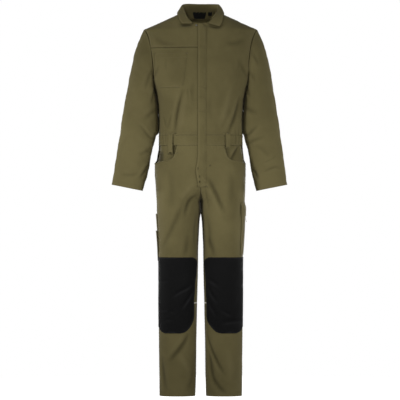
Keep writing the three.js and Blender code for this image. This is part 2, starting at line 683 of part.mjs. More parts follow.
const rightStations = COLLAR_STATIONS.map((around) => collarSection(-1, around));
const leftStations = COLLAR_STATIONS.slice(0, -1).reverse().map((around) => collarSection(1, around));
const collarGrid = [...rightStations, ...leftStations];
add('collar', wall(collarGrid, thickened(collarGrid, COLLAR_WALL)));

// A piece laid on the body cloth. Each row has its height and its two edges around the body.
function laidOn(side, rows, columns, thickness, lift) {
  const grid = (extra) => rows.map(({ z, from, to }, row) => along(columns, 0, 1).map((t) => (
    cloth(side, mix(from, to, t), z, lift(row / (rows.length - 1), t) + extra)
  )));
  return wall(grid(thickness), grid(0));
}

// A piece that shares the columns of the leg panel under it, from its inner edge to its outer one.
function laidOnLeg(side, rows, thickness) {
  const marks = along(LEG_COLUMNS, 0, 1).slice(1);
  const grid = (extra) => rows.map(({ z, from, to }) => {
    const places = [from, ...marks].map((mark, i) => (
      clamp(mark, from + i * LEAST_STEP, to - (marks.length - i) * LEAST_STEP)
    ));
    return places.map((around) => cloth(side, around, z, LIFT + extra));
  });
  return wall(grid(thickness), grid(0));
}
const flat = () => LIFT;
const byDistance = (rows) => rows.map(({ z, inner, outer }) => ({
  z,
  from: aroundAt(inner, z),
  to: aroundAt(outer, z),
}));
const bulge = (base, height) => (rise, across) => (
  base + height * Math.sin(Math.PI * rise) * Math.sin(Math.PI * across)
);

// The placket covers the centre front from the neck to the fly, with the zip behind it.
function centreStrip(xs, bottom, topAt, rows, lift, thickness) {
  const grid = (extra) => along(rows, 0, 1).map((t) => xs.map((x) => {
    const z = mix(bottom, topAt(x), t);
    return cloth(x < 0 ? -1 : 1, aroundAt(Math.abs(x), z), z, lift + extra);
  }));
  return wall(grid(thickness), grid(0));
}
const placketColumns = [PLACKET_FREE_EDGE, -4, 5, PLACKET_SEWN_EDGE];
const placketTop = (x) => PLACKET_TOP - PLACKET_SLANT * smooth((x - 5) / (PLACKET_SEWN_EDGE - 5));
add('placket', centreStrip(placketColumns, FLY_END, placketTop, 24, LIFT + 1, WALL));
const zipColumns = [-ZIP.half, 0, ZIP.half];
add('front_zip', centreStrip(zipColumns, ZIP.foot, () => ZIP.head, 22, -ZIP.depth, ZIP.thickness), tape);

function stud({ x, z, radius, height }) {
  const side = x < 0 ? -1 : 1;
  const around = aroundAt(Math.abs(x), z);
  const normal = clothNormal(side, around, z);
  const geometry = new THREE.CylinderGeometry(radius * 0.85, radius, height, 14);
  const turn = new THREE.Quaternion().setFromUnitVectors(new THREE.Vector3(0, 1, 0), normal);
  geometry.applyQuaternion(turn);
  const seat = cloth(side, around, z, SEAM + height / 2);
  geometry.translate(seat.x, seat.y, seat.z);
  return geometry;
}
add('neck_stud', stud(STUD), steel);

// The chest pocket on the wearer's right.
const chestRows = byDistance(CHEST_POCKET);
add('chest_pocket', laidOn(-1, chestRows, 8, WALL, flat));

// The back pocket, and the tool pocket in two layers, on the wearer's right.
function blockRows(count, { bottom, top, from, to }) {
  return along(count, bottom, top).map((z) => ({ z, from, to }));
}
const openTop = (base, gape) => (rise, across) => base + gape * rise ** 2 * Math.sin(Math.PI * across) ** 0.5;
const toolEdge = (z) => {
  const share = smooth((z - TOOL_FRONT_EDGE.from) / (TOOL_FRONT_EDGE.to - TOOL_FRONT_EDGE.from));
  return mix(TOOL_FRONT_EDGE.low, TOOL_FRONT_EDGE.high, share);
};
const toolRows = (count, top) => along(count, TOOL_BACK.bottom, top).map((z) => ({
  z,
  from: toolEdge(z),
  to: TOOL_BACK.to,
}));
const toolLift = openTop(LIFT, TOOL_BACK.gape);
const FRONT_SHARE = (TOOL_FRONT.top - TOOL_BACK.bottom) / (TOOL_BACK.top - TOOL_BACK.bottom);
const overTool = (rise, across) => (
  toolLift(rise * FRONT_SHARE, across) + WALL + LIFT + TOOL_FRONT.gape * rise ** 2
);
const BACK_POCKET_LIFT = openTop(LIFT + 0.4, BACK_POCKET.gape);
add('back_pocket', laidOn(-1, blockRows(6, BACK_POCKET), 8, WALL, BACK_POCKET_LIFT));
add('tool_pocket_back', laidOn(-1, toolRows(9, TOOL_BACK.top), 7, WALL, toolLift));
add('tool_pocket_front', laidOn(-1, toolRows(6, TOOL_FRONT.top), 7, WALL, overTool));

// The cargo pocket with its flap and pull, on the wearer's left.
const cargoLift = bulge(LIFT, CARGO.belly);
add('cargo_pocket', laidOn(1, blockRows(9, CARGO), 8, WALL, cargoLift));
const flapLift = (rise, across) => {
  const z = mix(FLAP.bottom, FLAP.top, rise);
  return z > FLAP.sewn ? LIFT : 2 * LIFT + WALL + FLAP.belly * Math.sin(Math.PI * across);
};
add('cargo_flap', laidOn(1, blockRows(5, FLAP), 8, WALL, flapLift));

function pullTab({ around, z, length, flare, width, thickness }) {
  const rise = (z - CARGO.bottom) / (CARGO.top - CARGO.bottom);
  const across = (around - CARGO.from) / (CARGO.to - CARGO.from);
  const start = cloth(1, around, z, cargoLift(rise, across) + WALL + SEAM + thickness / 2);
  const points = [0, 0.5, 1].map((share) => (
    start.clone().add(new THREE.Vector3(flare * share ** 1.4, -share, -length * share))
  ));
  const shape = new THREE.Shape();
  shape.moveTo(-width / 2, -thickness / 2);
  shape.lineTo(width / 2, -thickness / 2);
  shape.lineTo(width / 2, thickness / 2);
  shape.lineTo(-width / 2, thickness / 2);
  const extrudePath = new THREE.CatmullRomCurve3(points);
  return new THREE.ExtrudeGeometry(shape, { extrudePath, steps: 6, bevelEnabled: false });
}
add('cargo_pull', pullTab(PULL));

// Knee patches, and the light marks beside them at the inseam.
for (const [side, label] of [[1, 'left'], [-1, 'right']]) {
  const rows = KNEE_PATCH.map((row) => ({
    z: row.z,
    from: aroundAt(row[label], row.z),
    to: row.outer >= 170 ? 1 : aroundAt(row.outer, row.z),
  }));
  add(`knee_patch_${label}`, laidOnLeg(side, rows, WALL), patchCloth);
  const { bottom, top, inner, thickness } = KNEE_MARK;
  const mark = byDistance([bottom, top].map((z) => ({ z, inner, outer: KNEE_MARK[label] })));
  add(`knee_mark_${label}`, laidOn(side, mark, 2, thickness, flat), lightTape);
}

// Belt loops stand off the waistband between their ends.
const loopLift = (base) => (rise) => base + LOOP_STANDOFF * Math.sin(Math.PI * rise);
for (const [side, label] of [[1, 'left'], [-1, 'right']]) {
  const { bottom, top, inner, outer } = FRONT_LOOPS[label];
  const rows = byDistance(along(4, bottom, top).map((z) => ({ z, inner, outer })));
  add(`belt_loop_${label}`, laidOn(side, rows, 1, WALL, loopLift(LIFT)));
  add(`belt_loop_back_${label}`, laidOn(side, blockRows(4, BACK_LOOPS), 1, WALL, loopLift(LIFT + 1)));
}

// The bare labels hang inside the back of the collar.
function label({ from, to, bottom, top }) {
  const standPoint = (side, around, z) => {
    const [neck, , inRoll] = collarSection(side, around);
    return neck.clone().lerp(inRoll, clamp((z - neck.z) / (inRoll.z - neck.z), 0.2, 1));
  };
  const stand = (x, z) => {
    const side = x < 0 ? -1 : 1;
    let low = 1.2;
    let high = 2;
    for (let i = 0; i < 30; i += 1) {
      const middle = (low + high) / 2;
      if (Math.abs(standPoint(side, middle, z).x) > Math.abs(x)) low = middle;
      else high = middle;
    }
    return new THREE.Vector3(x, standPoint(side, high, z).y - LABEL_GAP, z);
  };
  const outer = along(3, bottom, top).map((z) => along(4, from, to).map((x) => stand(x, z)));
  const toBack = new THREE.Vector3(0, -LABEL_WALL, 0);
  const inner = outer.map((row) => row.map((point) => point.clone().add(toBack)));
  return wall(outer, inner);
}
add('neck_label', label(NECK_LABEL), tape);
add('size_label', label(SIZE_LABEL), tape);

export default suit;
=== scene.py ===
# The looks of a boiler suit, filled out as when worn. The cloth is worked out in millimetres,
# with heights above the trouser hem, and each finished mesh is in metres in the frame's own axes.
# side is +1 for the wearer's left half (+X) and -1 for the right half.
import math

import bpy
import numpy as np
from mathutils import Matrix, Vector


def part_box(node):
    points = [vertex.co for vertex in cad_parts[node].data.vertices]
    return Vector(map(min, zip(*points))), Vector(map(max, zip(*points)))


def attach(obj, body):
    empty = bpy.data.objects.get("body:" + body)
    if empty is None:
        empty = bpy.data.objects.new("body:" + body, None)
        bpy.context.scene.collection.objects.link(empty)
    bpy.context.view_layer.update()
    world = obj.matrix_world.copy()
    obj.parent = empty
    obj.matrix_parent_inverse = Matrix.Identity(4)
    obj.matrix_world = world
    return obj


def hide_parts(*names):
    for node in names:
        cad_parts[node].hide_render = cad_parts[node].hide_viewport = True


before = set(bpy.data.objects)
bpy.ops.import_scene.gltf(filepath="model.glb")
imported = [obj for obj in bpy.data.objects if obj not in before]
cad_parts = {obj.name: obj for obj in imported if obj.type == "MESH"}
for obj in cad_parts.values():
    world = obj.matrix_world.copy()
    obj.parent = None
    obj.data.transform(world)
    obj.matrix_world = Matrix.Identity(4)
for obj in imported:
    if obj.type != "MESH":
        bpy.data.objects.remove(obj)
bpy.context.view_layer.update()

MM = 0.001
HOLD_HEIGHT = 1540

# The camera: the photograph is 400 pixels wide, 4.1 mm of the suit to a pixel.
IMAGE_SIZE = 400
MM_PER_PIXEL = 4.1
CENTRE_PIXEL = 200.7
HEM_PIXEL = 395.5
CAMERA_DISTANCE = 12.0
SENSOR_WIDTH = 36.0

# Cloth sizes.
CLOTH = 1.2
CELL = 5.5
EDGE_STEPS = (0, 1.6, 3.4, 5.6, 8.6)
SQUARENESS = 2.3
HIP_SEAM = 1024
WAIST_SEAM = 1066
FORK = 800
RISE_TOP = 905
RISE_SQUARE = 0.995
LEG_BLEND_END = 880
UNDERARM = 1270
SHOULDER = 1499
CUFF_OUTER = 864
CUFF_INNER = 838.5
ARMHOLE_DEPTH = 0.31
ARMHOLE_SQUARENESS = 2.4
SLEEVE_FORWARD = -12
SLEEVE_SWAY = -4.5
SLEEVE_BLEND = 0.3
YOKE_ANGLE = 105
BEARER_LIFT = -4.4
NECK_TOP = 1562
FRONT_QUARTER = 250
BACK_QUARTER = 255
FORK_HELD = 64
FORK_CLOSED = 66
FORK_FADE = 14


def table(names, *rows):
    """Columns by name, from rows of numbers."""
    return dict(zip(names.split(), np.array(rows, float).T))


BODY = table(
    "z half front back",
    (0, 168.5, 68, 72),
    (140, 170, 71, 76),
    (285, 171.2, 77, 80),
    (385, 171.5, 83, 82),
    (505, 171.8, 87, 86),
    (605, 173, 94, 97),
    (705, 177, 102, 112),
    (760, 179.3, 107, 121),
    (850, 181, 114, 134),
    (900, 181, 117, 138),
    (951, 179.5, 117, 133),
    (985, 174.5, 114.5, 122),
    (1024, 170, 112, 110),
    (1066, 171, 112, 109),
    (1130, 172.5, 117, 115),
    (1180, 175, 124, 120),
    (1210, 178.5, 128, 122),
    (1240, 186, 131, 123),
    (1270, 197, 133, 123.5),
    (1320, 210, 134, 124),
    (1359, 218, 132, 124),
    (1408, 224, 125, 122),
    (1450, 228, 113, 116),
    (1499, 230, 92, 103),
)
SHOULDERS = table(
    "z half front back",
    (1499, 230, 92, 103),
    (1523, 177.5, 77, 92),
    (1545, 129, 68, 80),
    (1562, 92, 62, 72),
)
INSEAM = table(
    "z x",
    (0, 21.7), (137, 19.1), (285, 17), (385, 14.8), (505, 11.5), (605, 10.3),
    (655, 8.4), (705, 6), (740, 2.4), (760, 1), (800, 0.5),
)
NECKLINE = table(
    "around z",
    (0, 1523), (0.14, 1526.5), (0.34, 1539), (0.62, 1554.5),
    (1, 1562), (1.3, 1557.5), (1.62, 1552.5), (2, 1550),
)
SLEEVE_OUTER = table(
    "z x",
    (864, 359.5), (949, 346.5), (1047, 332), (1146, 318.4), (1244, 301.3),
    (1343, 283), (1416, 266), (1466, 247.6), (1499, 230),
)
SLEEVE_INNER = table(
    "z x",
    (838.5, 232.4), (900, 216.4), (949, 205.6), (998, 197), (1047.6, 184.7), (1072, 178.5),
    (1100, 176.4), (1130, 176.6), (1180, 179), (1210, 182.5), (1240, 189.4), (1270, 198),
)
SLEEVE_DEPTH = table("at half", (0, 66), (0.15, 72), (0.3, 70), (0.5, 56), (0.75, 43), (1, 31))
POCKET_MOUTH = table(
    "z x",
    (951, 179), (957, 160), (961, 138), (967, 121), (978, 110.5), (992, 106), (1006, 102.5), (1024, 98),
)
CHEST_POCKET = table(
    "z inner outer",
    (1259, 84, 163), (1264, 77, 172), (1272, 72, 179), (1290, 68, 184),
    (1320, 64, 186), (1350, 61, 186.5), (1376, 58, 187), (1400, 56, 187),
)
KNEE_PATCH = table(
    "z right left outer",
    (258, 84, 86, 144), (260, 73, 74, 150), (264, 63, 64, 158), (272, 53, 54, 166), (279, 47, 47, 169),
    (288, 41, 40, 170.9), (306, 32, 29, 171), (326, 28, 24, 171), (350, 27.6, 23.6, 171),
    (375, 27.6, 23.4, 171), (400, 26.5, 23, 171), (425, 25, 22.6, 171), (450, 23, 22, 171),
    (475, 21, 21.5, 171), (500, 19, 19.5, 171), (525, 17, 17.5, 171), (546, 15.8, 15.8, 171),
    (560, 21, 21, 171), (568, 33, 33, 171),
)
COLLAR_NAMES = "around rx ry rz ex ey ez"
COLLAR_FRONT = {
    -1: [(0.14, 34, -82, 1522, 76, -82, 1519), (0.35, 56, -59, 1545, 91, -68, 1538)],
    1: [(0.14, 30, -82, 1522, 77, -90, 1506), (0.35, 52, -60, 1546, 89, -76, 1528)],
}
COLLAR_BACK = [
    (0.6, 66, -30, 1567, 95, -46, 1556),
    (0.85, 72.5, 0, 1587, 97, -16, 1565),
    (1.1, 76, 22, 1600, 97, 13, 1566),
    (1.4, 69, 43, 1605.5, 88, 50, 1562),
    (1.7, 41, 57, 1607, 52, 79, 1557),
    (2, 0, 62, 1607, 0, 88, 1555),
]
COLLAR_START = 0.14
COLLAR_ROLL = 2.8
COLLAR_BELLY = 2.0
COLLAR_WALL = 1.4

# Creases in the body cloth: points (distance from the centre, height) on the front or back,
# or (place around, height) at a side. Depth below 0 is a trough; ridge is the fold beside it.
FRONT, BACK = -1, 1
BODY_CREASES = [
    # The bodice's front.
    (FRONT, [(-70, 1261), (-93, 1171), (-109, 1068)], 10, -4.2, 0.5),
    (FRONT, [(-155, 1150), (-146, 1118), (-134, 1089)], 7, -2.0, 0.4),
    (FRONT, [(-118, 1152), (-127, 1120), (-134, 1092)], 7, -1.8, 0.3),
    (FRONT, [(161, 1226), (142, 1150), (110, 1068)], 11, -4.2, 0.5),
    (FRONT, [(128, 1262), (104, 1180), (80, 1100)], 15, 2.6, 0),
    (FRONT, [(-58, 1263), (-51, 1225), (-48, 1190)], 4.5, -1.8, 0.4),
    (FRONT, [(-45, 1266), (-40, 1238), (-42, 1205)], 4, -1.3, 0.3),
    (FRONT, [(-140, 1382), (-142, 1350), (-138, 1326)], 6, -1.3, 0.3),
    (FRONT, [(153, 1372), (156, 1352), (152, 1333)], 6, -1.3, 0.3),
    (FRONT, [(-26, 1300), (-34, 1250), (-30, 1170)], 8, -1.4, 0.3),
    (FRONT, [(40, 1240), (36, 1180), (44, 1120)], 12, -1.5, 0.2),
    (FRONT, [(-62, 1240), (-76, 1160), (-84, 1084)], 17, 2.8, 0),
    (FRONT, [(196, 1300), (176, 1330), (160, 1372)], 10, -2.0, 0.4),
    (FRONT, [(-194, 1296), (-178, 1325), (-168, 1350)], 9, -1.8, 0.4),
    (FRONT, [(-190, 1465), (-140, 1440), (-95, 1436)], 14, -1.8, 0.2),
    (FRONT, [(186, 1462), (140, 1440), (92, 1440)], 14, -2.0, 0.2),
    # Deep troughs under the collar's leaves, whose painted shade stands for the leaves' shadow.
    (FRONT, [(-88, 1520), (-58, 1516), (-26, 1517)], 9, -6.0, 0),
    (FRONT, [(90, 1511), (64, 1508), (26, 1517)], 8, -6.0, 0),
    # Gathers beside the belt loops.
    (FRONT, [(-142, 1096), (-144, 1060), (-143, 1026)], 4, -2.0, 0.6),
    (FRONT, [(-153, 1088), (-155, 1058), (-154, 1028)], 4, -2.2, 0.6),
    (FRONT, [(-163, 1076), (-164, 1050), (-164, 1026)], 3.5, -1.8, 0.6),
    (FRONT, [(140, 1092), (141, 1060), (141, 1026)], 4, -2.0, 0.6),
    (FRONT, [(152, 1100), (153, 1062), (152, 1028)], 4, -2.2, 0.6),
    (FRONT, [(162, 1080), (163, 1052), (162, 1028)], 3.5, -1.8, 0.6),
    # The fork and the thighs.
    (FRONT, [(-7, 826), (-40, 806), (-58, 768), (-68, 724)], 10, -3.6, 0.5),
    (FRONT, [(-34, 846), (-84, 756), (-124, 676), (-162, 596)], 14, -2.6, 0.3),
    (FRONT, [(-50, 660), (-58, 610), (-68, 566)], 15, -2.6, 0.3),
    (FRONT, [(30, 650), (44, 606), (54, 566)], 15, -3.0, 0.3),
    (FRONT, [(18, 851), (22, 822), (28, 793), (37, 762)], 5, -2.6, 0.5),
    (FRONT, [(26, 898), (44, 862), (66, 814), (98, 744)], 12, -4.2, 0.5),
    (FRONT, [(-24, 872), (-48, 842), (-84, 806)], 13, 2.2, 0),
    (FRONT, [(-14, 760), (-24, 690), (-28, 610)], 12, -2.2, 0.3),
    (FRONT, [(22, 742), (34, 670), (34, 600)], 12, -2.0, 0.3),
    (FRONT, [(-128, 930), (-118, 850), (-122, 760)], 20, -1.8, 0.2),
    (FRONT, [(120, 925), (128, 850), (124, 770)], 20, -1.8, 0.2),
    (FRONT, [(160, 1026), (150, 1008), (136, 986), (122, 964)], 8, -5.0, 0.7),
    # The knees.
    (FRONT, [(-118, 412), (-86, 432), (-60, 445), (-36, 463)], 6, -3.6, 0.7),
    (FRONT, [(-84, 358), (-66, 384), (-52, 404), (-34, 436)], 6, -3.2, 0.7),
    (FRONT, [(-168, 476), (-150, 472), (-128, 478)], 5, -2.0, 0.5),
    (FRONT, [(-168, 362), (-148, 356), (-124, 360)], 5, -2.2, 0.6),
    (FRONT, [(-136, 344), (-118, 350), (-100, 344)], 4.5, -1.8, 0.5),
    (FRONT, [(-148, 312), (-126, 318), (-104, 313)], 5, -1.8, 0.5),
    (FRONT, [(30, 484), (54, 470), (80, 450)], 6, -3.2, 0.6),
    (FRONT, [(32, 455), (54, 410), (78, 384)], 6, -3.2, 0.6),
    (FRONT, [(54, 448), (66, 434), (80, 422)], 4.5, -1.6, 0.4),
    (FRONT, [(36, 386), (52, 358), (70, 330)], 6, -2.8, 0.6),
    (FRONT, [(82, 359), (106, 346), (130, 332)], 5.5, -2.6, 0.6),
    (FRONT, [(80, 304), (118, 312), (164, 314)], 8, -2.8, 0.5),
    (FRONT, [(136, 472), (154, 470), (170, 473)], 2.6, -1.6, 0.6),
    (FRONT, [(136, 461), (154, 459), (170, 461)], 2.6, -1.6, 0.6),
    # The shins.
    (FRONT, [(-46, 262), (-66, 224), (-98, 182), (-134, 143)], 13, -4.4, 0.5),
    (FRONT, [(-92, 176), (-64, 140), (-42, 92)], 14, 3.2, 0),
    (FRONT, [(-160, 176), (-157, 130), (-152, 84), (-140, 20)], 14, -3.4, 0.3),
    (FRONT, [(24, 266), (36, 215), (56, 163), (104, 80)], 8, -5.0, 0.6),
    (FRONT, [(34, 196), (40, 130), (48, 84), (62, 40)], 12, -4.0, 0.4),
    (FRONT, [(50, 78), (72, 44), (106, 10)], 10, -3.6, 0.4),
    (FRONT, [(112, 190), (122, 120), (128, 50)], 16, 2.4, 0),
    (FRONT, [(-30, 120), (-34, 70), (-60, 20)], 12, -2.0, 0.3),
    # The bodice's back.
    (BACK, [(95, 1240), (84, 1170), (60, 1080)], 13, -3.8, 0.5),
    (BACK, [(-95, 1250), (-80, 1170), (-55, 1090)], 13, -3.6, 0.5),
    (BACK, [(30, 1210), (34, 1140), (22, 1080)], 10, -2.4, 0.4),
    (BACK, [(-26, 1220), (-20, 1150), (-28, 1084)], 10, -2.2, 0.4),
    (BACK, [(150, 1190), (132, 1130), (120, 1076)], 10, -3.0, 0.5),
    (BACK, [(-152, 1200), (-136, 1130), (-118, 1080)], 10, -3.0, 0.5),
    (BACK, [(180, 1420), (160, 1340), (166, 1270)], 14, -3.0, 0.4),
    (BACK, [(-182, 1416), (-164, 1340), (-170, 1276)], 14, -3.2, 0.4),
    (BACK, [(-120, 1478), (-40, 1466), (60, 1470), (130, 1480)], 16, -1.6, 0.2),
    # The seat and the backs of the legs.
    (BACK, [(16, 808), (60, 776), (104, 702)], 11, -4.2, 0.5),
    (BACK, [(-16, 808), (-66, 772), (-108, 694)], 11, -4.2, 0.5),
    (BACK, [(14, 850), (60, 838), (110, 846)], 12, -2.6, 0.3),
    (BACK, [(-14, 846), (-58, 834), (-112, 840)], 12, -2.6, 0.3),
    (BACK, [(150, 800), (158, 740), (148, 660)], 12, -2.4, 0.3),
    (BACK, [(-40, 660), (-46, 600), (-38, 540)], 12, -2.2, 0.3),
    (BACK, [(44, 650), (50, 590), (40, 530)], 12, -2.2, 0.3),
    (BACK, [(28, 476), (84, 458), (146, 440)], 9, -4.0, 0.6),
    (BACK, [(34, 420), (90, 432), (150, 410)], 8, -3.4, 0.6),
    (BACK, [(30, 372), (76, 384), (120, 374)], 8, -2.6, 0.5),
    (BACK, [(-30, 452), (-84, 462), (-146, 484)], 9, -4.0, 0.6),
    (BACK, [(-34, 424), (-92, 410), (-150, 430)], 8, -3.2, 0.6),
    (BACK, [(-36, 378), (-74, 366), (-126, 376)], 8, -2.6, 0.5),
    (BACK, [(40, 300), (66, 220), (60, 120)], 13, -2.8, 0.4),
    (BACK, [(-46, 310), (-70, 220), (-64, 110)], 13, -2.8, 0.4),
    (BACK, [(120, 120), (106, 70), (112, 16)], 12, -2.4, 0.3),
    (BACK, [(-118, 130), (-108, 70), (-96, 14)], 12, -2.4, 0.3),
]
# Creases at the sides, for one side each: points (place around, height).
SIDE_CREASES = [
    (1, [(0.86, 1190), (1.02, 1160), (1.16, 1110)], 9, -2.6, 0.5),
    (-1, [(0.84, 1180), (1.0, 1150), (1.18, 1118)], 9, -2.6, 0.5),
    (1, [(0.8, 440), (1.0, 452), (1.3, 440)], 8, -1.6, 0.4),
    (-1, [(0.9, 470), (1.1, 462), (1.3, 474)], 8, -1.6, 0.4),
    (1, [(0.92, 330), (1.1, 320), (1.4, 332)], 9, -1.4, 0.4),
    (-1, [(0.92, 344), (1.2, 332), (1.4, 342)], 9, -1.4, 0.4),
    (1, [(0.9, 200), (1.04, 120), (1.1, 30)], 14, -1.3, 0.3),
    (-1, [(1.05, 240), (1.0, 150), (1.06, 50)], 14, -1.3, 0.3),
]
# Creases in a sleeve: points (angle from the underarm by the front, place from armhole to cuff).
SLEEVE_CREASES = [
    (1, [(28, 0.02), (46, 0.1), (60, 0.22)], 8, -3.2, 0.6),
    (1, [(60, 0.0), (78, 0.08), (92, 0.2)], 8, -2.4, 0.5),
    (1, [(94, 0.0), (104, 0.06), (112, 0.14)], 7, -2.2, 0.5),
    (1, [(20, 0.2), (52, 0.3), (88, 0.42)], 12, -2.6, 0.4),
    (1, [(8, 0.46), (44, 0.5), (84, 0.5)], 8, -2.6, 0.5),
    (1, [(14, 0.56), (48, 0.57), (96, 0.62)], 8, -2.2, 0.5),
    (1, [(76, 0.79), (100, 0.8), (124, 0.79)], 4, -1.8, 0.6),
    (1, [(72, 0.86), (104, 0.86), (138, 0.89)], 6, -2.4, 0.6),
    (1, [(8, 0.78), (34, 0.83), (48, 0.91)], 7, -3.0, 0.6),
    (1, [(60, 0.62), (84, 0.7), (98, 0.78)], 10, -1.8, 0.3),
    (-1, [(26, 0.02), (44, 0.12), (58, 0.26)], 8, -3.0, 0.6),
    (-1, [(66, 0.0), (80, 0.1), (88, 0.24)], 9, -2.4, 0.5),
    (-1, [(24, 0.22), (56, 0.34), (84, 0.46)], 12, -2.4, 0.4),
    (-1, [(10, 0.5), (50, 0.53), (90, 0.51)], 8, -2.4, 0.5),
    (-1, [(16, 0.6), (40, 0.64), (76, 0.72)], 9, -2.0, 0.4),
    (-1, [(12, 0.72), (34, 0.8), (52, 0.9)], 8, -3.2, 0.6),
    (-1, [(64, 0.86), (90, 0.9), (120, 0.92)], 9, -1.8, 0.4),
    # The backs of both sleeves.
    (1, [(212, 0.46), (250, 0.5), (300, 0.5), (346, 0.47)], 9, -3.4, 0.6),
    (1, [(230, 0.58), (276, 0.57), (330, 0.6)], 9, -2.8, 0.5),
    (1, [(200, 0.06), (240, 0.2), (286, 0.34)], 13, -3.0, 0.4),
    (1, [(214, 0.74), (256, 0.8), (300, 0.9)], 10, -2.4, 0.4),
    (-1, [(216, 0.5), (256, 0.47), (304, 0.5), (344, 0.49)], 9, -3.4, 0.6),
    (-1, [(226, 0.6), (270, 0.61), (324, 0.58)], 9, -2.8, 0.5),
    (-1, [(204, 0.08), (246, 0.22), (290, 0.36)], 13, -3.0, 0.4),
    (-1, [(210, 0.78), (250, 0.82), (296, 0.92)], 10, -2.4, 0.4),
]


# Curves and surfaces.
class Column:
    """Smooth lookup of one column of a table, straight beyond its ends."""

    def __init__(self, rows, key, at="z"):
        self.x, self.y = rows[at], rows[key]
        slope = np.diff(self.y) / np.diff(self.x)
        before, after = slope[:-1], slope[1:]
        total = np.where(before + after == 0, 1, before + after)
        middle = np.where(before * after <= 0, 0, 2 * before * after / total)
        self.tangent = np.concatenate([slope[:1], middle, slope[-1:]])

    def __call__(self, x):
        x = np.asarray(x, float)
        i = np.clip(np.searchsorted(self.x, x) - 1, 0, len(self.x) - 2)
        span = self.x[i + 1] - self.x[i]
        share = (x - self.x[i]) / span
        t = np.clip(share, 0, 1)
        keep = (1 + 2 * t) * (1 - t) ** 2
        lead = self.tangent[i] * t * (1 - t) ** 2 * span
        trail = self.tangent[i + 1] * t * t * (t - 1) * span
        inside = self.y[i] * keep + self.y[i + 1] * (1 - keep) + lead + trail
        before = np.where(share < 0, self.tangent[0] * (x - self.x[0]), 0)
        after = np.where(share > 1, self.tangent[-1] * (x - self.x[-1]), 0)
        return inside + before + after


def mix(a, b, t):
    return a + (b - a) * t


def smooth(v):
    v = np.clip(v, 0, 1)
    return v * v * (3 - 2 * v)


def rounded(v, squareness=SQUARENESS):
    return np.sign(v) * np.abs(v) ** (2 / squareness)


def unit(v):
    return v / np.maximum(np.linalg.norm(v, axis=-1, keepdims=True), 1e-9)


BODY_SIZE = {key: Column(BODY, key) for key in ("half", "front", "back")}
SHOULDER_SIZE = {key: Column(SHOULDERS, key) for key in ("half", "front", "back")}
inseam_at = Column(INSEAM, "x")
neck_height = Column(NECKLINE, "z", "around")
outer_edge = Column(SLEEVE_OUTER, "x")
inner_edge = Column(SLEEVE_INNER, "x")
sleeve_depth = Column(SLEEVE_DEPTH, "half", "at")
mouth_at = Column(POCKET_MOUTH, "x")


def size_at(z, key):
    return np.where(z > SHOULDER, SHOULDER_SIZE[key](z), BODY_SIZE[key](z))


def body_ring(around, z):
    angle = around * math.pi / 2
    depth = np.where(np.cos(angle) >= 0, size_at(z, "front"), size_at(z, "back"))
    return size_at(z, "half") * rounded(np.sin(angle)), -depth * rounded(np.cos(angle))


def leg_ring(around, z):
    outer = size_at(z, "half")
    gap = inseam_at(z)
    edge = np.where(z > FORK, 0, gap)
    middle = (outer + gap) / 2
    facing = np.where(around <= 1, -1, 1)
    depth = np.where(facing < 0, size_at(z, "front"), size_at(z, "back"))
    near = np.where(around <= 1, around, 2 - around)
    rise = np.clip((z - FORK) / (RISE_TOP - FORK), 0, 1)
    opening = np.where(z > FORK, np.minimum(RISE_SQUARE, np.sqrt(1 - (1 - rise) ** 2)), 0)
    first = np.arcsin(opening ** (SQUARENESS / 2))
    far_angle = (1 - near) * math.pi
    near_angle = mix(first, math.pi / 2, near * 2)
    reach = (middle - edge) / rounded(np.cos(first))
    far = near >= 0.5
    x = np.where(
        far,
        middle + (outer - middle) * rounded(np.cos(far_angle)),
        middle - reach * rounded(np.cos(near_angle)),
    )
    y = facing * depth * rounded(np.sin(np.where(far, far_angle, near_angle)))
    return x, y


def plain_cloth(side, around, z):
    """The smooth body cloth without folds."""
    around, z = np.broadcast_arrays(np.asarray(around, float), np.asarray(z, float))
    share = smooth((HIP_SEAM - z) / (HIP_SEAM - LEG_BLEND_END))
    bx, by = body_ring(around, z)
    lx, ly = leg_ring(around, z)
    return np.stack([side * mix(bx, lx, share), mix(by, ly, share), z], axis=-1)


def plain_normal(side, around, z):
    u0, u1 = np.clip(around - 0.003, 0, 2), np.clip(around + 0.003, 0, 2)
    v0, v1 = np.clip(z - 0.8, 0, NECK_TOP), np.clip(z + 0.8, 0, NECK_TOP)
    du = plain_cloth(side, u1, z) - plain_cloth(side, u0, z)
    dv = plain_cloth(side, around, v1) - plain_cloth(side, around, v0)
    return unit(np.cross(du, dv)) * np.asarray(side)[..., None]


def around_at(x, z):
    """The place around the front where a level reaches the distance x from the centre."""
    x, z = np.broadcast_arrays(np.asarray(x, float), np.asarray(z, float))
    low, high = np.zeros(x.shape), np.ones(x.shape)
    for _ in range(30):
        middle = (low + high) / 2
        short = np.abs(plain_cloth(1, middle, z)[..., 0]) < x
        low, high = np.where(short, middle, low), np.where(short, high, middle)
    return (low + high) / 2


def armhole(degrees, facing):
    angle = np.radians(degrees)
    middle, rise = (UNDERARM + SHOULDER) / 2, (SHOULDER - UNDERARM) / 2
    around = 1 + facing * ARMHOLE_DEPTH * rounded(np.sin(angle), ARMHOLE_SQUARENESS)
    return around, middle - rise * rounded(np.cos(angle), ARMHOLE_SQUARENESS)


# Creases, gathers and small waves.
# All folds are this much narrower and deeper than their tables say.
FOLD_NARROWER = 0.85
FOLD_DEEPER = 1.3


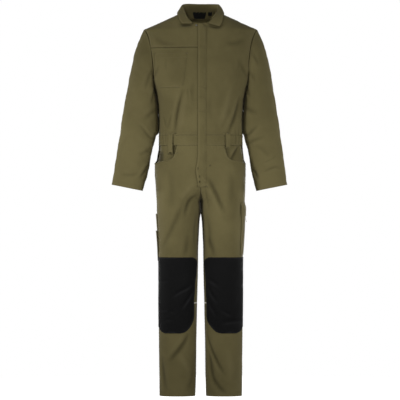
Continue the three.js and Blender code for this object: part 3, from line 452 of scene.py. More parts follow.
class Crease:
    """A soft trough or ridge along a line on the cloth, fading out at both ends."""

    STEPS = 14

    def __init__(self, line, normals, width, depth, ridge):
        self.line, self.normals = line, normals
        self.width, self.depth, self.ridge = width * FOLD_NARROWER, depth * FOLD_DEEPER, ridge
        steps = np.linalg.norm(np.diff(line, axis=0), axis=1)
        self.start = np.concatenate([[0], np.cumsum(steps)])

    def height(self, points, normals):
        reach = 3.2 * self.width
        low, high = self.line.min(0) - reach, self.line.max(0) + reach
        near = np.flatnonzero(np.all((points > low) & (points < high), axis=1))
        total = np.zeros(len(points))
        if not len(near):
            return total
        p, n = points[near], normals[near]
        best = np.full(len(p), 1e9)
        signed, run, facing = np.zeros(len(p)), np.zeros(len(p)), np.zeros(len(p))
        for k in range(len(self.line) - 1):
            a, d = self.line[k], self.line[k + 1] - self.line[k]
            length = max(np.linalg.norm(d), 1e-6)
            t = np.clip((p - a) @ d / length**2, 0, 1)
            off = p - (a + t[:, None] * d)
            away = np.linalg.norm(off, axis=1)
            nearer = away < best
            sign = np.sign(np.einsum("ij,ij->i", np.cross(d, n), off))
            best = np.where(nearer, away, best)
            signed = np.where(nearer, away * sign, signed)
            run = np.where(nearer, self.start[k] + t * length, run)
            facing = np.where(nearer, n @ self.normals[k], facing)
        taper = np.sin(math.pi * np.clip(run / self.start[-1], 0, 1)) ** 0.7
        trough = np.exp(-((best / self.width) ** 2))
        beside = np.exp(-(((signed - 1.5 * self.width) / (1.1 * self.width)) ** 2))
        total[near] = self.depth * taper * (trough - self.ridge * beside) * np.clip(facing * 2, 0, 1)
        return total


def bent_line(points, count=Crease.STEPS):
    """Points along a smooth line through a few given ones."""
    points = np.array(points, float)
    rows = {"t": np.arange(len(points), dtype=float)}
    t = np.linspace(0, len(points) - 1, count)
    out = []
    for k in range(points.shape[1]):
        rows["value"] = points[:, k]
        out.append(Column(rows, "value", "t")(t) if len(points) > 2 else mix(points[0, k], points[1, k], t))
    return np.stack(out, axis=1)


def body_creases():
    made = []
    for face, points, width, depth, ridge in BODY_CREASES:
        line = bent_line(points)
        side = np.where(line[:, 0] < 0, -1, 1)
        around = around_at(np.abs(line[:, 0]), line[:, 1])
        around = around if face == FRONT else 2 - around
        made.append((side, around, line[:, 1], width, depth, ridge))
    for side, points, width, depth, ridge in SIDE_CREASES:
        line = bent_line(points)
        made.append((np.full(len(line), side), line[:, 0], line[:, 1], width, depth, ridge))
    return [
        Crease(plain_cloth(side, around, z), plain_normal(side, around, z), *rest)
        for side, around, z, *rest in made
    ]


def waves(points, length, seed, count=9):
    """Smooth uneven waves through space, about 1 high."""
    own = np.random.default_rng(seed)
    total = np.zeros(len(points))
    for _ in range(count):
        direction = unit(own.normal(size=3))
        turn = 2 * math.pi / (length * own.uniform(0.7, 1.5))
        total += np.sin(points @ direction * turn + own.uniform(0, 2 * math.pi))
    return total / math.sqrt(count / 2)


GATHER_PITCH = 16
GATHER_DEPTH = 2.0


def gathers(side, around, z):
    """Upright gathers at the elastic of the waist, on the sides and the back."""
    run = around * BACK_QUARTER
    waist = (HIP_SEAM + WAIST_SEAM) / 2
    first = 0.62 if np.all(np.asarray(side) < 0) else 0.46
    wave = np.sin(2 * math.pi * run / GATHER_PITCH + 1.6 * np.sin(run / 37) + side)
    wave += 0.6 * np.sin(2 * math.pi * run / 27 + 2 * np.sin(run / 61))
    amount = smooth((around - first) / 0.2) * (0.75 + 0.25 * np.sin(run / 23))
    fade = np.exp(-(((z - waist) / np.where(z > waist, 50, 32)) ** 2))
    return GATHER_DEPTH * wave * amount * fade


CREASES = body_creases()


def body_relief(side, around, z, points, normals):
    """How far the body cloth stands off its smooth form."""
    flat_points, flat_normals = points.reshape(-1, 3), normals.reshape(-1, 3)
    folds = np.zeros(len(flat_points))
    for crease in CREASES:
        folds += crease.height(flat_points, flat_normals)
    folds = folds.reshape(points.shape[:-1])
    ripples = (0.6 * waves(flat_points, 95, 3) + 0.3 * waves(flat_points, 34, 4)).reshape(folds.shape)
    # The legs keep a straight outline at their side and inner seams.
    seam_line = np.minimum(np.abs(around - 1), np.minimum(around, 2 - around))
    straight = 0.75 * np.exp(-((seam_line / 0.1) ** 2)) * (z < LEG_BLEND_END)
    folds = folds * (1 - straight) + gathers(side, around, z)
    return folds + ripples * (1 - straight), folds


ALL_EDGES = ("start", "end", "top", "bottom")
OPEN_TOP = ("start", "end", "bottom")
OPEN_START = ("end", "top", "bottom")

# Seams: a dip at the sewn edge, a raised fold beside it and small puckers along it.
SEAM_DIP = 1.5
LEVEL_SEAM_DIP = 0.5
SEAM_RAISE = 0.5
PUCKER = 0.5


def edge_distances(points):
    """Distance of each grid point from the grid's four edges, along the cloth."""
    along = np.linalg.norm(np.diff(points, axis=1), axis=2)
    up = np.linalg.norm(np.diff(points, axis=0), axis=2)
    from_start = np.concatenate([np.zeros((len(points), 1)), np.cumsum(along, axis=1)], axis=1)
    from_bottom = np.concatenate([np.zeros((1, points.shape[1])), np.cumsum(up, axis=0)], axis=0)
    return {
        "start": from_start,
        "end": from_start[:, -1:] - from_start,
        "bottom": from_bottom,
        "top": from_bottom[-1:] - from_bottom,
    }


def seam_relief(away, edges):
    height = np.zeros(away["start"].shape)
    for k, edge in enumerate(edges):
        d = away[edge]
        run = away["bottom"] if edge in ("start", "end") else away["start"]
        pucker = np.sin(2 * math.pi * run / 13 + 2.1 * np.sin(run / 31) + k) * np.exp(-d / 9)
        dip = SEAM_DIP if edge in ("start", "end") else LEVEL_SEAM_DIP
        height += -dip * np.exp(-((d / 2.2) ** 2)) + SEAM_RAISE * np.exp(-(((d - 4.5) / 3) ** 2))
        height += PUCKER * pucker * np.clip(d / 4, 0, 1)
    return height


def across(width, cell=CELL):
    """Shares across a panel, finer beside its edges."""
    edge = np.array(EDGE_STEPS) / width
    count = max(4, int(round(width * (1 - 2 * edge[-1]) / cell)))
    inner = np.linspace(edge[-1], 1 - edge[-1], count)
    return np.concatenate([edge[:-1], inner, 1 - edge[:-1][::-1]])


def levels(low, high, cell=CELL, fine_low=True, fine_high=True):
    """Values between two levels, finer beside the sewn ones."""
    steps = np.array(EDGE_STEPS[:-1])
    count = max(3, int(round((high - low - 2 * EDGE_STEPS[-1]) / cell)))
    inner = np.linspace(
        low + (EDGE_STEPS[-1] if fine_low else 0), high - (EDGE_STEPS[-1] if fine_high else 0), count
    )
    below = low + steps if fine_low else []
    above = high - steps[::-1] if fine_high else []
    return np.concatenate([below, inner, above])


# Meshes.
def to_frame(points):
    return (np.asarray(points, float).reshape(-1, 3) - (0, 0, HOLD_HEIGHT)) * MM


def make_object(name, points, faces, material, uvs=None, sharp=76):
    mesh = bpy.data.meshes.new(name)
    mesh.from_pydata(to_frame(points).tolist(), [], faces)
    mesh.polygons.foreach_set("use_smooth", [True] * len(mesh.polygons))
    if uvs is not None:
        layer = mesh.uv_layers.new(name="cloth")
        layer.data.foreach_set("uv", np.asarray(uvs, np.float32).ravel())
    mesh.materials.append(material)
    mesh.update()
    mesh.set_sharp_from_angle(angle=math.radians(sharp))
    piece = bpy.data.objects.new(name, mesh)
    bpy.context.scene.collection.objects.link(piece)
    return piece


# How much a fold's top is painted paler as a highlight, and how much its bottom gets painted shade.
FOLD_HIGHLIGHT = 1.0
FOLD_SHADE = 0.8


def shell(name, outer, normals, thickness, material, uv, closed=False, near=None, folds=0.0):
    """A closed thin wall: the outer grid, and the same grid moved inwards."""
    rows, columns = outer.shape[:2]
    inner = outer - normals * thickness
    points = np.concatenate([outer.reshape(-1, 3), inner.reshape(-1, 3)])
    half = rows * columns
    last = columns if closed else columns - 1
    row, col = np.meshgrid(np.arange(rows - 1), np.arange(last), indexing="ij")
    row, col = row.ravel(), col.ravel()
    nxt = (col + 1) % columns
    a, b = row * columns + col, row * columns + nxt
    c, d = (row + 1) * columns + nxt, (row + 1) * columns + col
    quads = [np.stack([a, b, c, d], 1), np.stack([a, d, c, b], 1) + half]
    k = np.arange(last)
    k2 = (k + 1) % columns
    top = (rows - 1) * columns
    quads.append(np.stack([k, k + half, k2 + half, k2], 1))
    quads.append(np.stack([top + k, top + k2, top + k2 + half, top + k + half], 1))
    if not closed:
        r = np.arange(rows - 1) * columns
        e = r + columns - 1
        quads.append(np.stack([r, r + columns, r + columns + half, r + half], 1))
        quads.append(np.stack([e, e + half, e + columns + half, e + columns], 1))
    quads = np.concatenate(quads)
    p = points[quads]
    volume = np.einsum("ij,ij->", p[:, 0], np.cross(p[:, 1], p[:, 2]))
    volume += np.einsum("ij,ij->", p[:, 0], np.cross(p[:, 2], p[:, 3]))
    if volume < 0:
        quads = quads[:, ::-1]
    u, v = (np.asarray(k, float).reshape(-1) * MM for k in uv)
    place = np.stack([np.tile(u, 2), np.tile(v, 2)], axis=1)[quads]
    if closed:
        wide = u.max() - u.min()
        jump = place[:, :, 0].max(1) - place[:, :, 0].min(1) > wide / 2
        low = place[:, :, 0] < u.min() + wide / 2
        place[:, :, 0] += np.where(jump[:, None] & low, wide + CELL * MM, 0)
    piece = make_object(name, points, quads.tolist(), material, place)
    near = np.full(outer.shape[:2], 99.0) if near is None else near
    # Paler wear beside sewn edges, with a painted highlight on fold tops; painted shade along sewn edges and
    # in fold troughs, darkest in the deepest troughs.
    raised, sunk = np.clip(folds, 0, 3) / 3, np.clip(-folds, 0, 4) / 4
    wear_and_fold_highlight = np.clip(np.exp(-(((near - 4.5) / 3.5) ** 2)) + FOLD_HIGHLIGHT * raised, 0, 1)
    deep_shade = 0.3 * np.clip((-folds - 4) / 3, 0, 1)
    shaded = np.clip(np.exp(-((near / 1.8) ** 2)) + FOLD_SHADE * sunk**1.3, 0, 1) + deep_shade
    for key, value in (("wear_and_highlight", wear_and_fold_highlight), ("painted_shade", shaded)):
        attribute = piece.data.attributes.new(key, "FLOAT", "POINT")
        attribute.data.foreach_set("value", np.tile(value.astype(np.float32).reshape(-1), 2))
    return piece


GRIDS = {}


def turned_in(grid, normals, edge):
    """The grid with one edge carried on and down, as the cloth's allowance under the next piece."""
    if edge == "end":
        flipped = turned_in(grid[:, ::-1], normals[:, ::-1], "start")
        return tuple(part[:, ::-1] for part in flipped)
    away = unit(grid[:, :1] - grid[:, 1:2])
    first = grid[:, :1] + away * 1.4 - normals[:, :1] * 1.5
    second = grid[:, :1] + away * 3.6 - normals[:, :1] * 2.6
    normals = np.concatenate([normals[:, :1]] * 2 + [normals], axis=1)
    return np.concatenate([second, first, grid], axis=1), normals


def body_piece(
    name, side, around, z, edges, material,
    lift=0, thickness=CLOTH, sewn=(), under=None, shade=0.0,
):
    """A panel, or a piece laid on one, at the given places around the body."""
    points, normals = plain_cloth(side, around, z), plain_normal(side, around, z)
    away = edge_distances(points)
    height, folds = body_relief(side, around, z, points, normals)
    height = height + lift + seam_relief(away, edges)
    # The side seam keeps its line beside the sleeve, and the rise seam keeps the legs together.
    beside = np.exp(-(((around - 1) / 0.11) ** 2)) * (z > WAIST_SEAM) * (z < UNDERARM)
    inner_leg = smooth(np.abs(normals[..., 0]) * 5)
    centre = np.exp(-((np.abs(points[..., 0]) / 8) ** 2)) * (z > FORK - FORK_HELD) * inner_leg
    closed = (inseam_at(z) - 0.15) * smooth((z - FORK + FORK_CLOSED) / FORK_FADE) * (z <= FORK)
    height = mix(mix(height, lift + 0.2, 0.85 * beside), lift + closed, centre)
    outer = points + normals * height[..., None]
    GRIDS[name] = (outer, normals, away)
    # A shade below 0 adds painted shade and one above 0 a painted highlight, without moving the cloth; the
    # nearest sewn edge sets the paler wear and painted shade along it, in a narrower band at a panel's level
    # seams.
    folds = folds + shade
    marked = edges or sewn
    faint = {"top": 2.2, "bottom": 2.2} if edges else {}
    near = np.min([away[edge] * faint.get(edge, 1) for edge in marked], axis=0) if marked else None
    place = (away["start"] + 400 * side, z)
    if under:
        outer, normals = turned_in(outer, normals, under)
        added = ((0, 0), (2, 0) if under == "start" else (0, 2))
        near, *place = (np.pad(np.broadcast_to(k, z.shape), added, "edge") for k in (near, *place))
        folds = np.pad(folds, added, "edge")
    return shell(name, outer, normals, thickness, material, place, near=near, folds=folds)


# Materials.
def linear(*colour):
    """A colour of three parts up to 255, in the straight units that a shader takes."""
    parts = (part / 255 for part in colour)
    return tuple(c / 12.92 if c <= 0.04045 else ((c + 0.055) / 1.055) ** 2.4 for c in parts)


def group_socket(group, name, kind, default=None, output=False):
    made = group.interface.new_socket(name, in_out="OUTPUT" if output else "INPUT", socket_type=kind)
    if default is not None:
        made.default_value = default
    return made


def node(tree, kind, inputs=None, **settings):
    made = tree.nodes.new(kind)
    for key, value in settings.items():
        setattr(made, key, value)
    for key, value in (inputs or {}).items():
        if isinstance(value, bpy.types.NodeSocket):
            tree.links.new(value, made.inputs[key])
        else:
            made.inputs[key].default_value = value
    return made


def maths(tree, operation, a, b=0.0, c=0.0):
    return node(tree, "ShaderNodeMath", {0: a, 1: b, 2: c}, operation=operation).outputs[0]


def twill_weave():
    """Slanting ridges of a twill, crossed by the finer rows of its weft."""
    group = bpy.data.node_groups.new("twill_weave", "ShaderNodeTree")
    group_socket(group, "Vector", "NodeSocketVector")
    group_socket(group, "Ridge pitch", "NodeSocketFloat", 0.0011)
    group_socket(group, "Slant", "NodeSocketFloat", 0.7)
    group_socket(group, "Weft", "NodeSocketFloat", 0.4)
    group_socket(group, "Height", "NodeSocketFloat", output=True)
    start, end = group.nodes.new("NodeGroupInput"), group.nodes.new("NodeGroupOutput")
    split = node(group, "ShaderNodeSeparateXYZ", {0: start.outputs["Vector"]})
    u, v = split.outputs[0], split.outputs[1]
    turns = maths(group, "DIVIDE", 2 * math.pi, start.outputs["Ridge pitch"])
    slanted = maths(group, "MULTIPLY_ADD", v, start.outputs["Slant"], u)
    ridge = maths(group, "SINE", maths(group, "MULTIPLY", slanted, turns))
    weft = maths(group, "SINE", maths(group, "MULTIPLY", maths(group, "MULTIPLY", v, 2.0), turns))
    both = maths(group, "MULTIPLY_ADD", weft, start.outputs["Weft"], ridge)
    group.links.new(maths(group, "MULTIPLY_ADD", both, 0.35, 0.5), end.inputs["Height"])
    return group


def cloth_tone():
    """Uneven tone of dyed cloth: broad patches, fine flecks, paler rubbed seams, painted fold highlights and
    painted shade.
    """
    group = bpy.data.node_groups.new("cloth_tone", "ShaderNodeTree")
    group_socket(group, "Object place", "NodeSocketVector")
    group_socket(group, "Cloth place", "NodeSocketVector")
    group_socket(group, "Colour", "NodeSocketColor", (0.1, 0.1, 0.1, 1))
    group_socket(group, "Paler", "NodeSocketColor", (0.2, 0.2, 0.2, 1))
    group_socket(group, "Darker", "NodeSocketColor", (0.05, 0.05, 0.05, 1))
    group_socket(group, "Wear and highlight", "NodeSocketFloat", 0.0)
    group_socket(group, "Seam", "NodeSocketFloat", 0.0)
    group_socket(group, "Shade colour", "NodeSocketColor", (0.02, 0.02, 0.01, 1))
    group_socket(group, "Colour", "NodeSocketColor", output=True)
    start, end = group.nodes.new("NodeGroupInput"), group.nodes.new("NodeGroupOutput")
    broad = node(
        group, "ShaderNodeTexNoise", {"Vector": start.outputs["Object place"], "Scale": 9.0, "Detail": 3.0}
    ).outputs[0]
    fleck = node(
        group, "ShaderNodeTexNoise", {"Vector": start.outputs["Cloth place"], "Scale": 420.0, "Detail": 2.0}
    ).outputs[0]
    soft = node(group, "ShaderNodeMapRange", {0: broad, 1: 0.36, 2: 0.64, 3: 0.0, 4: 0.55}).outputs[0]
    spots = node(group, "ShaderNodeMapRange", {0: fleck, 1: 0.42, 2: 0.66, 3: 0.0, 4: 0.4}).outputs[0]
    first, second, third, fourth = (node(group, "ShaderNodeMix", data_type="RGBA") for _ in range(4))
    for mixer, share, base, over in (
        (first, soft, start.outputs["Colour"], start.outputs["Darker"]),
        (second, spots, first.outputs[2], start.outputs["Paler"]),
        (third, start.outputs["Wear and highlight"], second.outputs[2], start.outputs["Paler"]),
        (fourth, start.outputs["Seam"], third.outputs[2], start.outputs["Shade colour"]),
    ):
        group.links.new(share, mixer.inputs[0])
        group.links.new(base, mixer.inputs[6])
        group.links.new(over, mixer.inputs[7])
    group.links.new(fourth.outputs[2], end.inputs["Colour"])
    return group


WEAVE, TONE = twill_weave(), cloth_tone()


def cloth_material(name, base, paler, darker, pitch, roughness, sheen, bump=0.25, wear_and_highlight_share=0.35, slant=0.7):
    material = bpy.data.materials.new(name)
    material.use_nodes = True
    tree = material.node_tree
    shader = tree.nodes["Principled BSDF"]
    place = node(tree, "ShaderNodeTexCoord")
    cloth = node(tree, "ShaderNodeUVMap", uv_map="cloth")
    wear_and_highlight = node(tree, "ShaderNodeAttribute", attribute_name="wear_and_highlight").outputs["Fac"]
    painted_shade = node(tree, "ShaderNodeAttribute", attribute_name="painted_shade").outputs["Fac"]
    tone = node(tree, "ShaderNodeGroup", node_tree=TONE)
    tree.links.new(place.outputs["Object"], tone.inputs["Object place"])
    tree.links.new(cloth.outputs[0], tone.inputs["Cloth place"])
    # The cloth is painted paler for wear and fold highlights, and darker towards a shade colour for painted
    # shade along seams and in troughs.
    tree.links.new(maths(tree, "MULTIPLY", wear_and_highlight, wear_and_highlight_share), tone.inputs["Wear and highlight"])
    tree.links.new(maths(tree, "MULTIPLY", painted_shade, 0.62), tone.inputs["Seam"])
    sunk = tuple(0.3 * part for part in darker)
    for key, value in (("Colour", base), ("Paler", paler), ("Darker", darker), ("Shade colour", sunk)):
        tone.inputs[key].default_value = (*value, 1)
    weave = node(tree, "ShaderNodeGroup", node_tree=WEAVE)
    tree.links.new(cloth.outputs[0], weave.inputs["Vector"])
    weave.inputs["Ridge pitch"].default_value = pitch
    weave.inputs["Slant"].default_value = slant
    lint = node(tree, "ShaderNodeTexNoise", {"Vector": cloth.outputs[0], "Scale": 160.0, "Detail": 4.0})
    height = maths(tree, "MULTIPLY_ADD", lint.outputs[0], 0.8, weave.outputs["Height"])
    relief = node(tree, "ShaderNodeBump", {"Height": height, "Strength": bump, "Distance": 0.0004})
    tree.links.new(tone.outputs["Colour"], shader.inputs["Base Color"])
    tree.links.new(relief.outputs[0], shader.inputs["Normal"])
    shader.inputs["Roughness"].default_value = roughness
    shader.inputs["Sheen Weight"].default_value = sheen
    shader.inputs["Sheen Roughness"].default_value = 0.5
    shader.inputs["Specular IOR Level"].default_value = 0.12
    return material


OLIVE = linear(103, 95, 62)
OLIVE_PALE = linear(119, 110, 76)
OLIVE_DARK = linear(84, 77, 48)
olive_twill = cloth_material("olive_twill", OLIVE, OLIVE_PALE, OLIVE_DARK, 0.0011, 0.9, 0.05)
black_patch = cloth_material(
    "black_patch_cloth", linear(12, 12, 12), linear(38, 38, 39), linear(5, 5, 5), 0.0016, 0.85, 0.02,
    bump=0.35, wear_and_highlight_share=0.7, slant=0.0,
)
black_tape = cloth_material(
    "black_tape", linear(24, 24, 23), linear(40, 40, 38), linear(17, 17, 16), 0.0014, 0.7, 0.05, slant=2.0
)
light_tape = cloth_material(
    "off_white_tape", linear(226, 223, 208), linear(236, 233, 222), linear(205, 200, 184), 0.0014, 0.7, 0.1
)
thread = cloth_material(
    "olive_thread", linear(108, 101, 68), linear(126, 118, 84), linear(90, 83, 54), 0.0006, 0.7, 0.1, wear_and_highlight_share=0.0
)
dark_thread = cloth_material(
    "dark_olive_thread", linear(56, 50, 30), linear(70, 63, 40), linear(44, 39, 22), 0.0006, 0.8, 0.05,
    wear_and_highlight_share=0.0,
)
black_thread = cloth_material(
    "black_thread", linear(34, 34, 34), linear(52, 52, 52), linear(24, 24, 24), 0.0006, 0.7, 0.1, wear_and_highlight_share=0.0
)


def satin_steel():
    material = bpy.data.materials.new("satin_steel")
    material.use_nodes = True
    tree = material.node_tree
    shader = tree.nodes["Principled BSDF"]
    place = node(tree, "ShaderNodeTexCoord")
    grain = node(
        tree, "ShaderNodeTexNoise", {"Vector": place.outputs["Object"], "Scale": 900.0, "Detail": 3.0}
    )
    tone = node(tree, "ShaderNodeMix", {0: grain.outputs[0]}, data_type="RGBA")
    tone.inputs[6].default_value = (0.17, 0.17, 0.155, 1)
    tone.inputs[7].default_value = (0.26, 0.26, 0.24, 1)
    rough = node(tree, "ShaderNodeMapRange", {0: grain.outputs[0], 3: 0.38, 4: 0.52})
    tree.links.new(tone.outputs[2], shader.inputs["Base Color"])
    tree.links.new(rough.outputs[0], shader.inputs["Roughness"])
    shader.inputs["Metallic"].default_value = 1.0
    return material


steel = satin_steel()

# The bodice.
SIDE_WORD = {1: "left", -1: "right"}
ARMHOLE_ANGLES = np.concatenate([[0, 2, 5], np.arange(8, 180, 3.4), [180]])
NECK_ANGLES = (148, 156, 164, 172, 180)
NECK_PLACES = (0, 0.14, 0.34, 0.62, 1)


def front_start(degrees):
    """Where a row of the front starts: on the centre front, then on the neckline."""
    yoke = armhole(YOKE_ANGLE, -1)[1]
    share = np.interp(degrees, (YOKE_ANGLE, 120, 135, 148), (0, 0.33, 0.67, 1))
    centre = np.where(degrees <= YOKE_ANGLE, armhole(degrees, -1)[1], mix(yoke, neck_height(0), share))
    around = np.interp(degrees, NECK_ANGLES, NECK_PLACES)
    return around, np.where(degrees > 148, neck_height(around), centre)


def rows_between(start, end, width, cell=CELL):
    """Places on rows that run from one edge to the other."""
    t = across(width, cell)
    (a0, z0), (a1, z1) = start, end
    return mix(a0[:, None], a1[:, None], t), mix(z0[:, None], z1[:, None], t)


def front_rows(first, last, with_lower):
    degrees = ARMHOLE_ANGLES[(ARMHOLE_ANGLES > first) & (ARMHOLE_ANGLES < last)]
    degrees = np.concatenate([[first], degrees, [last]])
    start, end = front_start(degrees), armhole(degrees, -1)
    if with_lower:
        low = levels(WAIST_SEAM, UNDERARM, fine_high=False)[:-1]
        start = (np.concatenate([0 * low, start[0]]), np.concatenate([low, start[1]]))
        end = (np.concatenate([0 * low + 1, end[0]]), np.concatenate([low, end[1]]))
    return rows_between(start, end, 240)


def make_fronts():
    around, z = front_rows(0, 180, True)
    body_piece("front_panel_left", 1, around, z, OPEN_START, olive_twill)
    around, z = front_rows(0, YOKE_ANGLE, True)
    body_piece("front_panel_right", -1, around, z, OPEN_START, olive_twill)
    around, z = front_rows(YOKE_ANGLE, 180, False)
    body_piece("front_yoke_panel", -1, around, z, OPEN_START, olive_twill)


SHOULDER_SHARE = 3 / 8


def back_top(share):
    around = np.where(share > 1 - SHOULDER_SHARE, 1, 2 - share / (1 - SHOULDER_SHARE))
    shoulder = mix(SHOULDER, neck_height(1), np.clip((1 - share) / SHOULDER_SHARE, 0, 1))
    return around, np.where(share > 1 - SHOULDER_SHARE, shoulder, neck_height(around))


def back_rows():
    """The back in one piece, its upper rows spread to the neckline and the shoulder seams."""
    half = across(480)[: len(across(480)) // 2 + 1] * 2
    share = np.clip(1 - half, 0, 1)
    share[-1] = 0
    low = levels(WAIST_SEAM, UNDERARM, fine_high=False)[:-1]
    degrees = ARMHOLE_ANGLES[ARMHOLE_ANGLES < YOKE_ANGLE]
    side_around = np.concatenate([0 * low + 1, armhole(degrees, 1)[0]])
    side_z = np.concatenate([low, armhole(degrees, 1)[1]])
    around = mix(2, side_around[:, None], share)
    z = side_z[:, None] + 0 * share
    upper = np.concatenate([[YOKE_ANGLE], ARMHOLE_ANGLES[ARMHOLE_ANGLES > YOKE_ANGLE]])
    rise = np.interp(upper, (105, 120, 135, 148, 156, 164, 172, 180), np.linspace(0, 1, 8))[:, None]
    edge_around, edge_z = (k[:, None] for k in armhole(upper, 1))
    centre_z = mix(armhole(YOKE_ANGLE, -1)[1], neck_height(2), rise)
    top_around, top_z = back_top(share)
    (start_around, start_z), (end_around, end_z) = back_top(np.array(0.0)), back_top(np.array(1.0))
    upper_around = mix(2, edge_around, share) + rise * (top_around - mix(start_around, end_around, share))
    upper_z = mix(centre_z, edge_z, share) + rise * (top_z - mix(start_z, end_z, share))
    around = np.concatenate([around, np.clip(upper_around, 1, 2)])
    z = np.concatenate([z, upper_z])
    side = np.concatenate([-np.ones(len(share)), np.ones(len(share) - 1)])
    around = np.concatenate([around, around[:, -2::-1]], axis=1)
    z = np.concatenate([z, z[:, -2::-1]], axis=1)
    return np.broadcast_to(side, z.shape), around, z


def make_back():
    side, around, z = back_rows()
    body_piece("back_panel", side, around, z, ALL_EDGES, olive_twill)


def make_waistband():
    z = levels(HIP_SEAM, WAIST_SEAM, 4)
    for side in (1, -1):
        around, rows = rows_between((0 * z, z), (0 * z + 1, z), 245)
        body_piece(f"waistband_front_{SIDE_WORD[side]}", side, around, rows, OPEN_START, olive_twill)
    t = across(490)
    around = 2 - np.abs(2 * t - 1)
    side = np.where(t < 0.5, -1, 1)
    around, rows = np.meshgrid(around, z)
    side = np.broadcast_to(side, rows.shape)
    body_piece("waistband_back_panel", side, around, rows, ALL_EDGES, olive_twill)


# The trousers.
MOUTH_LOW = 951
MOUTH_GAPE = {1: 3.0, -1: 5.0}
HIP_STEP = {1: 3.0, -1: 6.0}
BEARER_SHADE = {1: 0.8, -1: 7.0}


def mouth_place(z):
    """Where the hip pocket's mouth cuts the trouser front short."""
    return np.where(z <= MOUTH_LOW, 1, around_at(mouth_at(np.maximum(z, MOUTH_LOW)), z))


def hip_step(side, around, z):
    """The side stands out just below the pocket's mouth."""
    near_side = np.exp(-(((around - 1) * FRONT_QUARTER / 42) ** 2))
    below = smooth((MOUTH_LOW + 9 - z) / 5) * smooth((z - 780) / 150)
    return HIP_STEP[side] * near_side * below


def mouth_lift(around, z, gape_depth):
    """How far the hip pocket's mouth stands off the body, most at its lower end."""
    from_edge = (mouth_place(z) - around) * FRONT_QUARTER
    low_part = smooth((z - MOUTH_LOW + 3) / 4) * smooth((1004 - z) / 36)
    return gape_depth * np.exp(-from_edge / 16) * low_part


def make_trousers():
    hip = np.concatenate([np.arange(MOUTH_LOW + 0.8, 968, 1.6), np.arange(970, 1018, 4)])
    top = HIP_SEAM - np.array(EDGE_STEPS[:-1][::-1])
    at_fork, at_seat = np.arange(788, 818, 3), np.arange(820, MOUTH_LOW, 5)
    low = np.concatenate([levels(0, 785, 6.4, fine_high=False), at_fork, at_seat])
    front_z = np.concatenate([low, hip, top])
    back_z = np.concatenate([low, np.arange(952, 1015, 5.5), top])
    for side in (1, -1):
        word = SIDE_WORD[side]
        around, z = rows_between((0 * front_z, front_z), (mouth_place(front_z), front_z), FRONT_QUARTER, 5.8)
        off = mouth_lift(around, z, MOUTH_GAPE[side]) + hip_step(side, around, z)
        body_piece(
            f"trouser_front_panel_{word}", side, around, z, ("start", "end", "top"), olive_twill, lift=off,
            under="start" if side > 0 else None,
        )
        around, z = rows_between((0 * back_z + 1, back_z), (0 * back_z + 2, back_z), BACK_QUARTER, 5.8)
        body_piece(
            f"trouser_back_panel_{word}", side, around, z, ("start", "end", "top"), olive_twill,
            lift=hip_step(side, around, z), under="end" if side > 0 else None,
        )
        bearer_z = levels(944, HIP_SEAM, 5)
        first = np.clip(mouth_place(np.maximum(bearer_z, 955)) - 0.09, 0.2, 0.9)
        around, z = rows_between((first, bearer_z), (0 * bearer_z + 1, bearer_z), 110)
        # Painted shade on the bearer along the pocket's mouth, and more beside the hip where the pocket
        # gapes, most on the right.
        sunk = -7 * np.exp(-np.abs(around - mouth_place(z)) * BACK_QUARTER / 8)
        at_side = smooth((around - 0.66) / 0.13) * smooth((z - 958) / 6) * smooth((1010 - z) / 22)
        body_piece(
            f"hip_pocket_bearer_{word}", side, around, z, ("end", "top"), olive_twill,
            lift=BEARER_LIFT - 2 * at_side * (side < 0), shade=sunk - BEARER_SHADE[side] * at_side,
        )


# The sleeves.
def sleeve_ring(side, degrees, at):
    angle = np.radians(degrees)
    top_z, low_z = mix(SHOULDER, CUFF_OUTER, at), mix(UNDERARM, CUFF_INNER, at)
    share = (1 - rounded(np.cos(angle))) / 2
    x = side * mix(inner_edge(low_z), outer_edge(top_z), share) + SLEEVE_SWAY * at
    y = SLEEVE_FORWARD * at - sleeve_depth(at) * rounded(np.sin(angle))
    return np.stack([x, y, mix(low_z, top_z, share)], axis=-1)


def sleeve_point(side, degrees, at):
    degrees, at = np.broadcast_arrays(np.asarray(degrees, float), np.asarray(at, float))
    point = sleeve_ring(side, degrees, at)
    turned = degrees % 360
    facing = np.where(turned <= 180, -1, 1)
    fold = np.where(turned <= 180, turned, 360 - turned)
    around, z = armhole(fold, facing)
    start = plain_cloth(side, around, z) - sleeve_ring(side, degrees, 0 * at)
    blend = np.clip(1 - at / SLEEVE_BLEND, 0, 1) ** 2
    return point + start * blend[..., None]


def sleeve_normal(side, degrees, at):
    a0, a1 = np.clip(at - 0.004, 0, 1), np.clip(at + 0.004, 0, 1)
    du = sleeve_point(side, degrees + 1, at) - sleeve_point(side, degrees - 1, at)
    dv = sleeve_point(side, degrees, a1) - sleeve_point(side, degrees, a0)
    return unit(np.cross(du, dv)) * -side


# How near to the body's side the sleeve hangs, down to the waist.
AGAINST_GAP = 0.15


